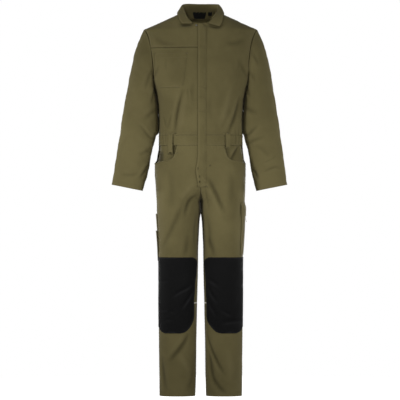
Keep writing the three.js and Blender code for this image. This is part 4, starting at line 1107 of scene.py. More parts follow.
def make_sleeves():
    degrees = np.concatenate([[0, 0.8, 1.8, 3.2], np.arange(6, 355, 4.3), [356.8, 358.2, 359.2]])
    at = np.concatenate([[0, 0.0025, 0.0055, 0.009], np.linspace(0.016, 0.984, 104), [0.991, 0.9955, 1]])
    degrees, at = np.meshgrid(degrees, at)
    for side in (1, -1):
        points, normals = sleeve_point(side, degrees, at), sleeve_normal(side, degrees, at)
        flat_points, flat_normals = points.reshape(-1, 3), normals.reshape(-1, 3)
        folds = np.zeros(len(flat_points))
        for own, line, width, depth, ridge in SLEEVE_CREASES:
            if own != side:
                continue
            line = bent_line(line)
            crease = Crease(
                sleeve_point(side, line[:, 0], line[:, 1]), sleeve_normal(side, line[:, 0], line[:, 1]),
                width, depth, ridge,
            )
            folds += crease.height(flat_points, flat_normals)
        height = folds + 0.7 * waves(flat_points, 85, 11) + 0.3 * waves(flat_points, 32, 12)
        folds = folds.reshape(at.shape)
        away = edge_distances(points)
        round_it = away["start"][:, -1:] + CELL
        away["start"] = np.minimum(away["start"], round_it - away["start"])
        away["end"] = away["start"]
        cap = 0.8 * smooth(1 - away["bottom"] / 26) * np.sin(math.pi * np.clip((degrees % 360) / 360, 0, 1))
        inner_line = points[:, :1]
        gap = np.abs(inner_line[..., 0]) - size_at(inner_line[..., 2], "half") - AGAINST_GAP
        hangs = smooth((inner_line[..., 2] - 1064) / 12) * smooth((at[:, :1] - 0.02) / 0.05)
        against = np.exp(-((np.minimum(degrees, 360 - degrees) / 30) ** 2)) * hangs
        height = height.reshape(at.shape) + seam_relief(away, ("start", "bottom")) + cap
        height = mix(height, np.clip(gap, 0, 8), against)
        outer = points + normals * height[..., None]
        near = np.minimum(away["bottom"], away["start"])
        name = f"sleeve_tube_{SIDE_WORD[side]}"
        run = edge_distances(points)["start"]
        GRIDS[name] = (outer, normals, away)
        turned = degrees[0]
        around, z = armhole(np.where(turned <= 180, turned, 360 - turned), np.where(turned <= 180, -1, 1))
        inward = plain_normal(np.full(z.shape, side), around, z)
        back = unit(outer[0] - outer[2])
        tuck = np.stack([outer[0] + back * 3.2 - inward * 2.6, outer[0] + back * 1.2 - inward * 1.6])
        outer = np.concatenate([tuck, outer])
        normals = np.concatenate([inward[None], unit(inward + normals[0])[None], normals])
        run, at_run = np.concatenate([run[:2], run]), np.concatenate([at[:1] - 0.008, at[:1] - 0.004, at])
        near, folds = (np.concatenate([part[:1], part[:1], part]) for part in (near, folds))
        shell(name, outer, normals, CLOTH, olive_twill, (run + 900 * side, at_run * 650), True, near, folds)


# The collar.
COLLAR_COLUMNS = {
    side: {key: Column(rows, key, "around") for key in COLLAR_NAMES.split()[1:]}
    for side, rows in ((s, table(COLLAR_NAMES, *COLLAR_FRONT[s], *COLLAR_BACK)) for s in (1, -1))
}


def catmull(points, per):
    """A smooth line through every point, with a few steps between each pair."""
    out = []
    last = len(points) - 1
    for i in range(last):
        p0, p1 = points[max(0, i - 1)], points[i]
        p2, p3 = points[i + 1], points[min(last, i + 2)]
        for t in np.arange(per) / per:
            out.append(
                0.5 * (2 * p1 + (p2 - p0) * t + (2 * p0 - 5 * p1 + 4 * p2 - p3) * t**2
                       + (3 * p1 - p0 - 3 * p2 + p3) * t**3)
            )
    out.append(points[last])
    return np.array(out)


def collar_section(side, around):
    value = {key: float(lookup(around)) for key, lookup in COLLAR_COLUMNS[side].items()}
    roll = np.array([side * value["rx"], value["ry"], value["rz"]])
    edge = np.array([side * value["ex"], value["ey"], value["ez"]])
    z = neck_height(around)
    neck = plain_cloth(side, around, z).reshape(3) + (0, 0, 0.5)
    out = unit((edge - roll) * (1, 1, 0))
    in_roll = roll - out * COLLAR_ROLL - (0, 0, COLLAR_ROLL)
    out_roll = roll + out * COLLAR_ROLL - (0, 0, COLLAR_ROLL)
    belly = mix(out_roll, edge, 0.5) + out * COLLAR_BELLY
    tuck = neck - plain_normal(side, np.array(around), z) * 2.6 - (0, 0, 4)
    return catmull(np.array([tuck, neck, mix(neck, in_roll, 0.5), in_roll, roll, out_roll, belly, edge]), 5)


def make_collar():
    stations = np.concatenate([[0, 0.004, 0.009, 0.016], np.linspace(0.026, 1, 56)]) * (2 - COLLAR_START)
    stations = stations + COLLAR_START
    right = [collar_section(-1, a) for a in stations]
    left = [collar_section(1, a) for a in stations[-2::-1]]
    grid = np.array(right + left)
    du = np.gradient(grid, axis=0)
    dv = np.gradient(grid, axis=1)
    normals = unit(np.cross(du, dv))
    away = edge_distances(grid)
    flat = grid.reshape(-1, 3)
    height = (0.5 * waves(flat, 60, 21) + 0.2 * waves(flat, 24, 22)).reshape(grid.shape[:2])
    height += seam_relief(away, OPEN_START)
    outer = grid + normals * height[..., None]
    near = np.minimum(np.minimum(away["end"], away["top"]), away["bottom"])
    place = (away["start"], away["bottom"])
    shell("collar_leaf", outer, normals, -COLLAR_WALL, olive_twill, place, near=near)
    GRIDS["collar_leaf"] = (outer, normals, away)


# What is laid on the panels: stood off by LAY, pressed down at its sewn edges.
LAY = 2.0


def laid_piece(name, side, around, z, material, sewn, stand=LAY, puff=None, thickness=CLOTH):
    points = plain_cloth(side, around, z)
    away = edge_distances(points)
    near = np.min([away[edge] for edge in sewn], axis=0)
    lift = stand + 0.7 * (1 - np.exp(-near / 8)) - 0.3 * np.exp(-((near / 1.6) ** 2))
    if puff is not None:
        lift = lift + puff
    return body_piece(name, side, around, z, (), material, lift=lift, thickness=thickness, sewn=sewn)


def by_distance(z, inner, outer, width):
    return rows_between((around_at(inner, z), z), (around_at(outer, z), z), width)


def block(bottom, top, first, last, width, cell=CELL):
    z = levels(bottom, top, cell)
    return rows_between((0 * z + first, z), (0 * z + last, z), width, cell)


def gape(z, bottom, top, across_share, depth):
    rise = np.clip((z - bottom) / (top - bottom), 0, 1)
    return depth * rise**2 * np.sin(math.pi * np.clip(across_share, 0, 1)) ** 0.5


def share_across(around):
    return (around - around[:, :1]) / (around[:, -1:] - around[:, :1])


def make_chest_pocket():
    z = np.concatenate([np.arange(1259, 1275, 1.6), levels(1276, 1400, fine_low=False)])
    inner, outer = Column(CHEST_POCKET, "inner")(z), Column(CHEST_POCKET, "outer")(z)
    around, z = by_distance(z, inner, outer, 120)
    stand = mix(0.6, LAY, smooth(share_across(around) / 0.15))
    laid_piece("chest_pocket_cloth", -1, around, z, olive_twill, ("end", "bottom"), stand=stand)


PLACKET_EDGES = (-12.7, 21.5)
PLACKET_FOOT = 854
PLACKET_TOP = 1521.5
PLACKET_SLANT = 14
PLACKET_BANDS = (1425, 1322, 1261, 1220, 1163)


def centre_strip(xs, bottom, top, rows, bulge=0):
    """A strip over the centre front, its columns at fixed distances from the centre."""
    t = np.linspace(0, 1, rows)[:, None]
    z = mix(bottom, top, t) + 0 * xs
    if bulge:
        xs = xs - bulge * np.exp(-(((z - 921) / 36) ** 2)) * smooth((6 - xs) / 16)
    side = np.where(xs + 0 * z < 0, -1, 1)
    return side, around_at(np.abs(xs) + 0 * z, z), z


def make_placket():
    (first, last), steps = PLACKET_EDGES, np.array(EDGE_STEPS)
    xs = np.sort(np.concatenate([first + steps, [0, 4.5], last - steps]))
    top = PLACKET_TOP - PLACKET_SLANT * smooth((xs - 5) / (last - 5))
    side, around, z = centre_strip(xs, PLACKET_FOOT, top, 170, bulge=8)
    bands = sum(np.exp(-(((z - level) / 3.0) ** 2)) for level in PLACKET_BANDS)
    puff = -0.9 * bands + 0.5 * np.exp(-(((z - 920) / 34) ** 2)) * np.exp(-(((xs + 8) / 6) ** 2)) * 4
    stand = mix(2.3, 0.9, smooth((xs - 6) / 14) * smooth((1460 - z) / 50))
    laid_piece(
        "placket_strip", side, around, z, olive_twill, ("start", "top", "bottom"),
        stand=stand, puff=puff, thickness=1.6,
    )
    xs = np.array([-14, -11, -7, -3.5, 0, 3.5, 7, 11, 14.0])
    side, around, z = centre_strip(xs, 870, 1516.5, 90)
    body_piece("zip_tape", side, around, z, (), black_tape, lift=-2.6, thickness=1.0)


def make_knee_patches():
    for side, key in ((1, "left"), (-1, "right")):
        z = np.concatenate([np.arange(258, 300, 1.8), levels(301, 568)])
        inner, outer = Column(KNEE_PATCH, key)(z), Column(KNEE_PATCH, "outer")(z)
        last = np.where(outer >= 170, 1, around_at(outer, z))
        around, z = rows_between((around_at(inner, z), z), (last, z), 190, 5)
        laid_piece(f"knee_patch_cloth_{key}", side, around, z, black_patch, ALL_EDGES)
        reach = {"left": 22, "right": 26.5}[key]
        z = np.linspace(379, 384, 4)
        around, z = by_distance(z, 0 * z + 16, 0 * z + reach, 20)
        body_piece(f"knee_mark_tape_{key}", side, around, z, (), light_tape, lift=1.2, thickness=0.7)


BACK_POCKET_FOOT, BACK_POCKET_TOP = 872, 1003
TOOL_FOOT, TOOL_SHORT_TOP, TOOL_LONG_TOP = 553, 676, 745
TOOL_BACK = 1.36
CARGO_FOOT, CARGO_TOP = 576, 772
FLAP_FOOT, FLAP_TOP = 735, 791


def tool_edge(z):
    """Where the tool pocket starts: further forward above its foot."""
    return mix(1.015, 0.93, smooth((z - 572) / 24))


def make_back_and_tool_pockets():
    around, z = block(BACK_POCKET_FOOT, BACK_POCKET_TOP, 1.1, 1.56, 130)
    puff = gape(z, BACK_POCKET_FOOT, BACK_POCKET_TOP, share_across(around), 3)
    laid_piece("back_pocket_cloth", -1, around, z, olive_twill, OPEN_TOP, puff=puff)
    z = levels(TOOL_FOOT, TOOL_LONG_TOP)
    around, rows = rows_between((tool_edge(z), z), (0 * z + TOOL_BACK, z), 100)
    puff = gape(rows, TOOL_FOOT, TOOL_LONG_TOP, share_across(around), 4)
    laid_piece("tool_pocket_long_cloth", -1, around, rows, olive_twill, OPEN_TOP, puff=puff)
    z = levels(TOOL_FOOT, TOOL_SHORT_TOP)
    around, rows = rows_between((tool_edge(z), z), (0 * z + TOOL_BACK, z), 100)
    under = gape(rows, TOOL_FOOT, TOOL_LONG_TOP, share_across(around), 4)
    over = 2.4 + 2.5 * np.clip((rows - TOOL_FOOT) / (TOOL_SHORT_TOP - TOOL_FOOT), 0, 1) ** 2
    laid_piece("tool_pocket_short_cloth", -1, around, rows, olive_twill, OPEN_TOP, puff=under + over)


def make_cargo_pocket():
    around, z = block(CARGO_FOOT, CARGO_TOP, 0.81, 1.38, 150)
    share = share_across(around)
    rise = (z - CARGO_FOOT) / (CARGO_TOP - CARGO_FOOT)
    puff = 3.2 * np.sin(math.pi * rise) * np.sin(math.pi * share)
    laid_piece("cargo_pocket_cloth", 1, around, z, olive_twill, ALL_EDGES, puff=puff)
    around, z = block(FLAP_FOOT, FLAP_TOP, 0.79, 1.4, 160)
    share = share_across(around)
    over = smooth((FLAP_TOP - 5 - z) / 14) * (2.6 + 2.2 * np.sin(math.pi * share))
    laid_piece("cargo_flap_cloth", 1, around, z, olive_twill, ("top",), puff=over)


FRONT_LOOPS = [
    # name, side, foot, top, distances from the centre
    ("belt_loop_front_left", 1, 1012, 1072, 100, 119),
    ("belt_loop_front_right", -1, 988, 1068, 112, 131),
]
REAR_LOOP_FOOT, REAR_LOOP_TOP = 1010, 1070
LOOP_BOW = 2.6


def make_belt_loops():
    for name, side, bottom, top, inner, outer in FRONT_LOOPS:
        z = levels(bottom, top, 4)
        around, z = by_distance(z, 0 * z + inner, 0 * z + outer, 20)
        bow = LOOP_BOW * np.sin(math.pi * (z - bottom) / (top - bottom))
        share = share_across(around)
        # Painted highlights down two lines of each loop, and painted shade along its inner edge.
        loop_shade_and_highlight = 2.6 * np.exp(-(((share - 0.32) / 0.13) ** 2)) + 2.2 * np.exp(-(((share - 0.72) / 0.1) ** 2))
        loop_shade_and_highlight = loop_shade_and_highlight - 4.5 * np.exp(-((share / 0.1) ** 2))
        body_piece(name, side, around, z, (), olive_twill, lift=LAY + 0.4 + bow, thickness=1.6, shade=loop_shade_and_highlight)
    for side in (1, -1):
        z = levels(REAR_LOOP_FOOT, REAR_LOOP_TOP, 4)
        around, z = rows_between((0 * z + 1.62, z), (0 * z + 1.72, z), 20)
        bow = LOOP_BOW * np.sin(math.pi * (z - REAR_LOOP_FOOT) / (REAR_LOOP_TOP - REAR_LOOP_FOOT))
        name = f"belt_loop_rear_{SIDE_WORD[side]}"
        body_piece(name, side, around, z, (), olive_twill, lift=LAY + 0.8 + bow, thickness=1.6)


LABELS = [
    # name, ends across, foot, top
    ("neck_label_tape", -32, 22, 1549, 1576),
    ("size_label_tape", 30, 47, 1559, 1576),
]


def make_labels():
    """Bare labels inside the back of the collar."""
    for name, first, last, bottom, top in LABELS:
        xs = np.linspace(first, last, 14)
        zs = np.linspace(bottom, top, 10)
        x, z = np.meshgrid(xs, zs)
        middle = (first + last) / 2
        x = middle + (x - middle) * (1 - 0.22 * (1 - (z - bottom) / (top - bottom)) ** 2)
        stand = label_depth(x, z)
        y = stand - 1.4 - 0.6 * np.sin(math.pi * (z - bottom) / (top - bottom))
        grid = np.stack([x, y, z], axis=-1)
        normals = np.broadcast_to(np.array([0.0, -1.0, 0.0]), grid.shape)
        away = edge_distances(grid)
        shell(name, grid, normals, 0.8, black_tape, (away["start"], away["bottom"]))


def label_depth(x, z):
    """How far back the collar's stand is at a place seen from the front."""
    outer = GRIDS["collar_leaf"][0]
    stand = outer[:, :12].reshape(-1, 3)
    stand = stand[stand[:, 1] > 20]
    depth = np.zeros(x.shape)
    for k in np.ndindex(x.shape):
        away = (stand[:, 0] - x[k]) ** 2 + (stand[:, 2] - z[k]) ** 2
        close = np.argsort(away)[:4]
        weight = 1 / (away[close] + 1)
        depth[k] = (stand[close, 1] * weight).sum() / weight.sum()
    return depth


# The press stud's cap: radius and height of each turn of its profile, from the middle below.
STUD_PROFILE = [
    (0, -1.0), (3.8, -1.0), (3.8, 0.6), (3.6, 1.3), (3.1, 1.7), (2.6, 1.5), (2.2, 1.2), (1.2, 1.5), (0, 1.6),
]
STUD_STEPS = 28
STUD_LIFT = 0.6


def make_stud():
    """The press stud's cap: a low dome with a rolled rim."""
    side, x, z = -1, 17.8, 1513
    around = around_at(x, z)
    seat = plain_cloth(side, around, z).reshape(3)
    axis = plain_normal(side, around, np.array(float(z))).reshape(3)
    across_axis = unit(np.cross(axis, (0, 0, 1)))
    up_axis = np.cross(across_axis, axis)
    profile, steps = STUD_PROFILE, STUD_STEPS
    points, faces = [], []
    for radius, height in profile[1:-1]:
        for k in range(steps):
            angle = 2 * math.pi * k / steps
            outward = math.cos(angle) * across_axis + math.sin(angle) * up_axis
            points.append(seat + axis * (height + STUD_LIFT) + radius * outward)
    rings = len(profile) - 2
    bottom, top = len(points), len(points) + 1
    points += [seat + axis * (height + STUD_LIFT) for _, height in (profile[0], profile[-1])]
    for r in range(rings - 1):
        for k in range(steps):
            a, b = r * steps + k, r * steps + (k + 1) % steps
            faces.append([a, b, b + steps, a + steps])
    for k in range(steps):
        nxt = (k + 1) % steps
        faces.append([bottom, nxt, k])
        faces.append([top, (rings - 1) * steps + k, (rings - 1) * steps + nxt])
    make_object("neck_stud_cap", np.array(points), faces, steel, sharp=40)


PULL_RADII = np.array([0.935, 1.87, 0])


def make_cargo_pull():
    """A short tab hanging from the cargo flap's edge."""
    low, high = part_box("cargo_pull")
    top = np.array([low.x, (low.y + high.y) / 2, high.z]) / MM + (2.0, 0, HOLD_HEIGHT - 0.5)
    foot = np.array([high.x, (low.y + high.y) / 2, low.z]) / MM + (-1.6, 0, HOLD_HEIGHT + 1)
    share = np.linspace(0, 1, 12)[:, None]
    line = mix(top, foot, share) + np.array([-1.4, 0, 0]) * np.sin(math.pi * share)
    grid, normals = [], []
    for k, centre in enumerate(line):
        round_points, round_normals = [], []
        for angle in np.radians(np.arange(0, 360, 30)):
            direction = np.array([math.sin(angle) * 0.8, math.cos(angle), 0])
            round_points.append(centre + direction * PULL_RADII)
            round_normals.append(unit(direction))
        grid.append(round_points)
        normals.append(round_normals)
    grid, normals = np.array(grid), np.array(normals)
    away = edge_distances(grid)
    shell("cargo_pull_tab", grid, normals, 0.7, olive_twill, (away["start"], away["bottom"]), True)


make_fronts()
make_back()
make_waistband()
make_trousers()
make_sleeves()
make_collar()
make_chest_pocket()
make_placket()
make_knee_patches()
make_back_and_tool_pockets()
make_cargo_pocket()
make_belt_loops()
make_labels()
make_stud()
make_cargo_pull()

# Sewing: one Geometry Nodes tree lays stitches along lines on the cloth.
STITCH_PITCH = 3.6
STITCH_LENGTH = 2.7
THREAD = 0.42


def stitch_tree():
    """Stitches at an even pitch along every edge of a mesh."""
    tree = bpy.data.node_groups.new("stitches", "GeometryNodeTree")
    tree.interface.new_socket("Geometry", in_out="INPUT", socket_type="NodeSocketGeometry")
    for name, value in (("Pitch", 0.0035), ("Length", 0.0027), ("Thickness", 0.0004)):
        tree.interface.new_socket(name, in_out="INPUT", socket_type="NodeSocketFloat").default_value = value
    tree.interface.new_socket("Thread", in_out="INPUT", socket_type="NodeSocketMaterial")
    tree.interface.new_socket("Geometry", in_out="OUTPUT", socket_type="NodeSocketGeometry")
    start, end = tree.nodes.new("NodeGroupInput"), tree.nodes.new("NodeGroupOutput")
    link = tree.links.new
    curve = tree.nodes.new("GeometryNodeMeshToCurve")
    spaced = tree.nodes.new("GeometryNodeResampleCurve")
    spaced.mode = "LENGTH"
    ball = tree.nodes.new("GeometryNodeMeshUVSphere")
    ball.inputs["Segments"].default_value = 5
    ball.inputs["Rings"].default_value = 4
    ball.inputs["Radius"].default_value = 0.5
    size = tree.nodes.new("ShaderNodeCombineXYZ")
    placed = tree.nodes.new("GeometryNodeInstanceOnPoints")
    tangent = tree.nodes.new("GeometryNodeInputTangent")
    turn = tree.nodes.new("FunctionNodeAlignEulerToVector")
    turn.axis = "Z"
    real = tree.nodes.new("GeometryNodeRealizeInstances")
    coat = tree.nodes.new("GeometryNodeSetMaterial")
    link(start.outputs["Geometry"], curve.inputs[0])
    link(curve.outputs[0], spaced.inputs["Curve"])
    link(start.outputs["Pitch"], spaced.inputs["Length"])
    link(spaced.outputs[0], placed.inputs["Points"])
    link(ball.outputs[0], placed.inputs["Instance"])
    link(start.outputs["Thickness"], size.inputs[0])
    link(start.outputs["Thickness"], size.inputs[1])
    link(start.outputs["Length"], size.inputs[2])
    link(size.outputs[0], placed.inputs["Scale"])
    link(tangent.outputs[0], turn.inputs["Vector"])
    link(turn.outputs[0], placed.inputs["Rotation"])
    link(placed.outputs[0], real.inputs[0])
    link(real.outputs[0], coat.inputs["Geometry"])
    link(start.outputs["Thread"], coat.inputs["Material"])
    link(coat.outputs[0], end.inputs[0])
    return tree


STITCHES = stitch_tree()


def sew(name, lines, material, pitch=STITCH_PITCH, length=STITCH_LENGTH, thickness=2 * THREAD):
    """A mesh of stitches along lines of points."""
    points, edges = [], []
    for line in lines:
        first = len(points)
        points.extend(line)
        edges.extend([first + k, first + k + 1] for k in range(len(line) - 1))
    mesh = bpy.data.meshes.new(name + "_lines")
    mesh.from_pydata(to_frame(points).tolist(), edges, [])
    guide = bpy.data.objects.new(name + "_lines", mesh)
    bpy.context.scene.collection.objects.link(guide)
    modifier = guide.modifiers.new("stitches", "NODES")
    modifier.node_group = STITCHES
    values = {"Pitch": pitch * MM, "Length": length * MM, "Thickness": thickness * MM, "Thread": material}
    for item in STITCHES.interface.items_tree:
        if item.in_out == "INPUT" and item.name in values:
            modifier[item.identifier] = values[item.name]
    graph = bpy.context.evaluated_depsgraph_get()
    made = bpy.data.meshes.new_from_object(guide.evaluated_get(graph))
    made.name = name
    bpy.data.objects.remove(guide)
    piece = bpy.data.objects.new(name, made)
    bpy.context.scene.collection.objects.link(piece)
    made.polygons.foreach_set("use_smooth", [True] * len(made.polygons))
    return piece


def line_on(name, edge, inset, first=0.0, last=1.0):
    """A line of stitches on a finished grid, at a distance from one of its edges."""
    outer, normals, away = GRIDS[name]
    surface = outer + normals * 0.12
    out = []
    if edge in ("top", "bottom"):
        for k in range(outer.shape[1]):
            run = away[edge][:, k]
            order = np.argsort(run)
            out.append([np.interp(inset, run[order], surface[order, k, c]) for c in range(3)])
    else:
        for k in range(outer.shape[0]):
            run = away[edge][k]
            order = np.argsort(run)
            out.append([np.interp(inset, run[order], surface[k, order, c]) for c in range(3)])
    out = np.array(out)
    count = len(out) - 1
    return out[int(round(first * count)): int(round(last * count)) + 1]


TOPSTITCH = (3.0, 9.0)


def double(name, edge):
    return [line_on(name, edge, inset) for inset in TOPSTITCH]


OPEN_POCKETS = (
    "chest_pocket_cloth", "back_pocket_cloth", "tool_pocket_long_cloth", "tool_pocket_short_cloth",
)


def sewing_lines():
    lines = {part: [] for part in ("bodice", "trousers", "sleeves", "pockets", "collar", "patches")}
    lines["bodice"] += double("front_panel_right", "top") + double("front_yoke_panel", "bottom")
    lines["bodice"] += double("front_panel_left", "bottom") + double("front_panel_right", "bottom")
    for word in ("left", "right"):
        lines["bodice"] += [line_on(f"waistband_front_{word}", edge, 3) for edge in ("top", "bottom")]
        lines["trousers"] += double(f"trouser_front_panel_{word}", "end")
        lines["trousers"] += [line_on(f"trouser_front_panel_{word}", "bottom", 16)]
        lines["trousers"] += [line_on(f"trouser_back_panel_{word}", "bottom", 16)]
        lines["trousers"] += double(f"trouser_back_panel_{word}", "end")
        lines["trousers"] += [line_on(f"trouser_front_panel_{word}", "start", 3, 0.72, 0.84)]
        lines["sleeves"] += [line_on(f"sleeve_tube_{word}", "top", 16)]
        lines["patches"] += [line_on(f"knee_patch_cloth_{word}", edge, 3) for edge in ALL_EDGES]
    lines["bodice"] += [line_on("waistband_back_panel", edge, 3) for edge in ("top", "bottom")]
    lines["bodice"] += double("back_panel", "top")
    lines["collar"] += [line_on("collar_leaf", edge, 6) for edge in ("top", "start", "end")]
    for name in OPEN_POCKETS:
        lines["pockets"] += [line_on(name, edge, 2.2) for edge in OPEN_TOP]
        lines["pockets"] += [line_on(name, "top", inset) for inset in (3, 20)]
    lines["pockets"] += [line_on("cargo_pocket_cloth", edge, 2.2) for edge in OPEN_TOP]
    lines["pockets"] += [line_on("cargo_flap_cloth", edge, 5) for edge in OPEN_TOP]
    lines["pockets"] += double("cargo_flap_cloth", "top")
    lines["pockets"] += [line_on("placket_strip", "end", 2.5), line_on("placket_strip", "end", 8)]
    lines["pockets"] += [line_on("placket_strip", "bottom", 3)]
    outer, normals, _ = GRIDS["placket_strip"]
    per_row = (PLACKET_TOP - PLACKET_FOOT) / (len(outer) - 1)
    at_band = [round((z - PLACKET_FOOT) / per_row) for z in PLACKET_BANDS]
    lines["placket_bands"] = [outer[k, 1:-1] + normals[k, 1:-1] * 0.15 for k in at_band]
    return lines


def bar(centre, along, length):
    """A bartack: threads close together across a short line on the surface."""
    along = unit(np.array(along, float))
    steps = np.linspace(-length / 2, length / 2, max(5, int(length / 0.9)))
    return np.array(centre) + steps[:, None] * along


def on_front(x, z, lift):
    side = -1 if x < 0 else 1
    around = around_at(abs(x), z)
    point, normal = plain_cloth(side, around, z), plain_normal(side, around, np.array(float(z)))
    spot = (around.reshape(1, 1), np.array([[float(z)]]), point[None, None], normal[None, None])
    height, _ = body_relief(side, *spot)
    return point + normal * (lift + float(height[0, 0]))


BARTACKS = [
    # x, z, how far off the body cloth, direction (x, z), length
    (-185, 1396, 3.0, (1, 0.2), 9), (-55, 1397, 3.0, (1, 0), 9),
    (-107, 1073, 5.5, (1, 0), 15),
    (105, 1014, 6.5, (1, 0), 15), (110, 1074, 5.5, (1, 0), 15),
    (-95, 992, 0.8, (1, 1), 9), (105, 974, 0.8, (0.2, 1), 9), (38, 941, 0.8, (1, 0.6), 8),
    (24, 857, 3.2, (1, 0), 8),
]
DARK_BARTACKS = [
    (-124, 988, 5.5, (1, 0.1), 17), (-121, 993, 5.5, (1, 0), 9), (-11, 930, 4.6, (0, 1), 8),
    (-5.3, 897, 4.6, (0, 1), 7), (-5.3, 877, 4.6, (0, 1), 7),
]
THREADS = {"patches": black_thread, "placket_bands": dark_thread}


def make_stitching():
    return [
        sew(f"{name}_stitching", lines, THREADS.get(name, thread))
        for name, lines in sewing_lines().items()
    ]


def make_bartacks(name, spots, material):
    lines = []
    for x, z, lift, (dx, dz), length in spots:
        centre = on_front(x, z, lift)
        ahead = on_front(x + dx * 4, z + dz * 4, lift)
        lines.append(bar(centre, ahead - centre, length))
    return sew(name, lines, material, pitch=0.8, length=0.8, thickness=3.0)


sewing = make_stitching()
sewing.append(make_bartacks("bartacks", BARTACKS, thread))
sewing.append(make_bartacks("dark_bartacks", DARK_BARTACKS, dark_thread))

# What each piece stands for and the size it was cut to: node, width, length and the share of
# that rectangle that the cut fills, with how it is held and what it rests on.
PIECES = {
    "front_panel_left": ("front_left", 0.26, 0.47, 0.86, "hung", "back_panel"),
    "front_panel_right": ("front_right", 0.26, 0.35, 0.95, "hung", "front_yoke_panel"),
    "front_yoke_panel": ("front_yoke_right", 0.25, 0.15, 0.75, "hung", "back_panel"),
    "back_panel": ("back", 0.54, 0.5, 0.85, "hung", "front_panel_left"),
    "waistband_front_left": ("waistband_left", 0.25, 0.045, 1, "gathered", "trouser_front_panel_left"),
    "waistband_front_right": ("waistband_right", 0.25, 0.045, 1, "gathered", "trouser_front_panel_right"),
    "waistband_back_panel": ("waistband_back", 0.5, 0.045, 1, "gathered", "trouser_back_panel_left"),
    "trouser_front_panel_left": ("trouser_front_left", 0.27, 1.03, 0.9, "hung", "waistband_front_left"),
    "trouser_front_panel_right": ("trouser_front_right", 0.27, 1.03, 0.9, "hung", "waistband_front_right"),
    "trouser_back_panel_left": ("trouser_back_left", 0.28, 1.04, 0.92, "hung", "waistband_back_panel"),
    "trouser_back_panel_right": ("trouser_back_right", 0.28, 1.04, 0.92, "hung", "waistband_back_panel"),
    "hip_pocket_bearer_left": ("pocket_bearer_left", 0.14, 0.08, 0.8, "hung", "trouser_front_panel_left"),
    "hip_pocket_bearer_right": ("pocket_bearer_right", 0.14, 0.08, 0.8, "hung", "trouser_front_panel_right"),
    "sleeve_tube_left": ("sleeve_left", 0.46, 0.65, 0.76, "hung", "front_panel_left"),
    "sleeve_tube_right": ("sleeve_right", 0.46, 0.65, 0.76, "hung", "front_yoke_panel"),
    "collar_leaf": ("collar", 0.46, 0.085, 0.95, "folded", "back_panel"),
    "placket_strip": ("placket", 0.036, 0.68, 1, "laid", "front_panel_left"),
    "zip_tape": ("front_zip", 0.03, 0.66, 1, "laid", "front_panel_left"),
    "chest_pocket_cloth": ("chest_pocket", 0.135, 0.142, 0.95, "laid", "front_panel_right"),
    "back_pocket_cloth": ("back_pocket", 0.125, 0.132, 1, "laid", "trouser_back_panel_right"),
    "tool_pocket_long_cloth": ("tool_pocket_back", 0.105, 0.193, 1, "laid", "trouser_back_panel_right"),
    "tool_pocket_short_cloth": ("tool_pocket_front", 0.105, 0.124, 1, "laid", "tool_pocket_long_cloth"),
    "cargo_pocket_cloth": ("cargo_pocket", 0.15, 0.2, 1, "laid", "trouser_front_panel_left"),
    "cargo_flap_cloth": ("cargo_flap", 0.16, 0.058, 1, "laid", "cargo_pocket_cloth"),
    "cargo_pull_tab": ("cargo_pull", 0.01, 0.02, 0.8, "hung", "cargo_flap_cloth"),
    "knee_patch_cloth_left": ("knee_patch_left", 0.2, 0.312, 0.93, "laid", "trouser_front_panel_left"),
    "knee_patch_cloth_right": ("knee_patch_right", 0.2, 0.312, 0.93, "laid", "trouser_front_panel_right"),
    "knee_mark_tape_left": ("knee_mark_left", 0.032, 0.01, 0.5, "laid", "trouser_front_panel_left"),
    "knee_mark_tape_right": ("knee_mark_right", 0.038, 0.01, 0.5, "laid", "trouser_front_panel_right"),
    "belt_loop_front_left": ("belt_loop_left", 0.02, 0.062, 1, "laid", "waistband_front_left"),
    "belt_loop_front_right": ("belt_loop_right", 0.02, 0.082, 1, "laid", "waistband_front_right"),
    "belt_loop_rear_left": ("belt_loop_back_left", 0.02, 0.062, 1, "laid", "waistband_back_panel"),
    "belt_loop_rear_right": ("belt_loop_back_right", 0.02, 0.062, 1, "laid", "waistband_back_panel"),
    "neck_label_tape": ("neck_label", 0.055, 0.028, 1, "laid", "collar_leaf"),
    "size_label_tape": ("size_label", 0.018, 0.018, 1, "laid", "collar_leaf"),
}
# Every piece hangs under the root, and the part it stands for is hidden.
for name, (cad_node, width, length, share, held, rests_on) in PIECES.items():
    piece = bpy.data.objects[name]
    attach(piece, "root")
    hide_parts(cad_node)
stud_cap = bpy.data.objects["neck_stud_cap"]
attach(stud_cap, "root")
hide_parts("neck_stud")

for stitches in sewing:
    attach(stitches, "root")

# The camera, the floor and the light.
scene = bpy.context.scene
camera_data = bpy.data.cameras.new("camera")
camera_data.sensor_width = SENSOR_WIDTH
camera_data.lens = SENSOR_WIDTH * CAMERA_DISTANCE / (IMAGE_SIZE * MM_PER_PIXEL * MM)
camera_data.clip_end = 100
camera = bpy.data.objects.new("camera", camera_data)
scene.collection.objects.link(camera)
middle_x = (IMAGE_SIZE / 2 - CENTRE_PIXEL) * MM_PER_PIXEL * MM
middle_z = ((HEM_PIXEL - IMAGE_SIZE / 2) * MM_PER_PIXEL - HOLD_HEIGHT) * MM
camera.location = (middle_x, -CAMERA_DISTANCE, middle_z)
camera.rotation_euler = (math.pi / 2, 0, 0)
scene.camera = camera

STUDIO_FLOOR = -1.56
FLOOR_RADIUS = 1.7
EVEN_LIGHT = 0.2


def white_to_look_at(tree):
    """Full strength where the studio is seen, and a low even light elsewhere."""
    seen = node(tree, "ShaderNodeLightPath").outputs["Is Camera Ray"]
    return maths(tree, "MULTIPLY_ADD", seen, 1 - EVEN_LIGHT, EVEN_LIGHT)


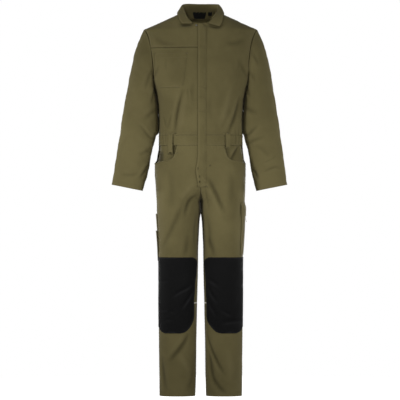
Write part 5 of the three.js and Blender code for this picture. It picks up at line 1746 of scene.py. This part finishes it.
def pale_floor():
    """A plain round floor."""
    steps = 64
    angles = 2 * math.pi * np.arange(steps) / steps
    points = [(FLOOR_RADIUS * math.cos(a), FLOOR_RADIUS * math.sin(a), STUDIO_FLOOR) for a in angles]
    mesh = bpy.data.meshes.new("studio_floor")
    mesh.from_pydata(points, [], [list(range(steps))])
    material = bpy.data.materials.new("studio_floor")
    material.use_nodes = True
    shader = material.node_tree.nodes["Principled BSDF"]
    shader.inputs["Base Color"].default_value = (0.9, 0.9, 0.9, 1)
    shader.inputs["Roughness"].default_value = 0.9
    shader.inputs["Emission Color"].default_value = (1, 1, 1, 1)
    material.node_tree.links.new(white_to_look_at(material.node_tree), shader.inputs["Emission Strength"])
    mesh.materials.append(material)
    floor = bpy.data.objects.new("studio_floor", mesh)
    scene.collection.objects.link(floor)
    return floor


pale_floor()


def studio_world():
    """White all round."""
    world = bpy.data.worlds.new("studio")
    world.use_nodes = True
    tree = world.node_tree
    background = tree.nodes["Background"]
    background.inputs[0].default_value = (1, 1, 1, 1)
    tree.links.new(white_to_look_at(tree), background.inputs[1])
    return world


scene.world = studio_world()
LIGHTS = [
    # name, place, aims at, size, watts, spread in degrees
    ("left_key", (-1.9, -1.5, -0.45), (0, 0, -0.55), 0.4, 3.1, 58),
    ("right_key", (1.9, -1.6, -0.5), (0, 0, -0.55), 0.4, 1.9, 58),
    ("front_fill", (0.3, -2.1, -0.5), (0, 0, -0.9), 0.4, 0.85, 56),
    ("neck_fill", (-0.5, -1.6, 0.7), (0, 0.02, 0.05), 0.2, 0.13, 22),
    ("back_key", (0.9, 2.3, -0.4), (0, 0, -0.65), 0.6, 5.4, 64),
    ("back_fill", (-1.3, 2.2, -0.5), (0, 0, -0.65), 0.6, 2.4, 64),
    ("left_side", (-2.4, 0.8, -0.5), (0, 0, -0.6), 0.5, 1.6, 60),
    ("right_side", (2.4, 0.8, -0.5), (0, 0, -0.6), 0.5, 1.6, 60),
]
for name, place, aim, size, watts, spread in LIGHTS:
    data = bpy.data.lights.new(name, "AREA")
    data.shape = "DISK"
    data.size = size
    data.energy = watts
    data.spread = math.radians(spread)
    lamp = bpy.data.objects.new(name, data)
    lamp.location = place
    direction = unit(np.array(aim) - np.array(place))
    lamp.rotation_euler = (
        math.acos(-direction[2]), 0, math.atan2(direction[0], -direction[1]) + math.pi
    )
    scene.collection.objects.link(lamp)
scene.view_settings.view_transform = "Standard"
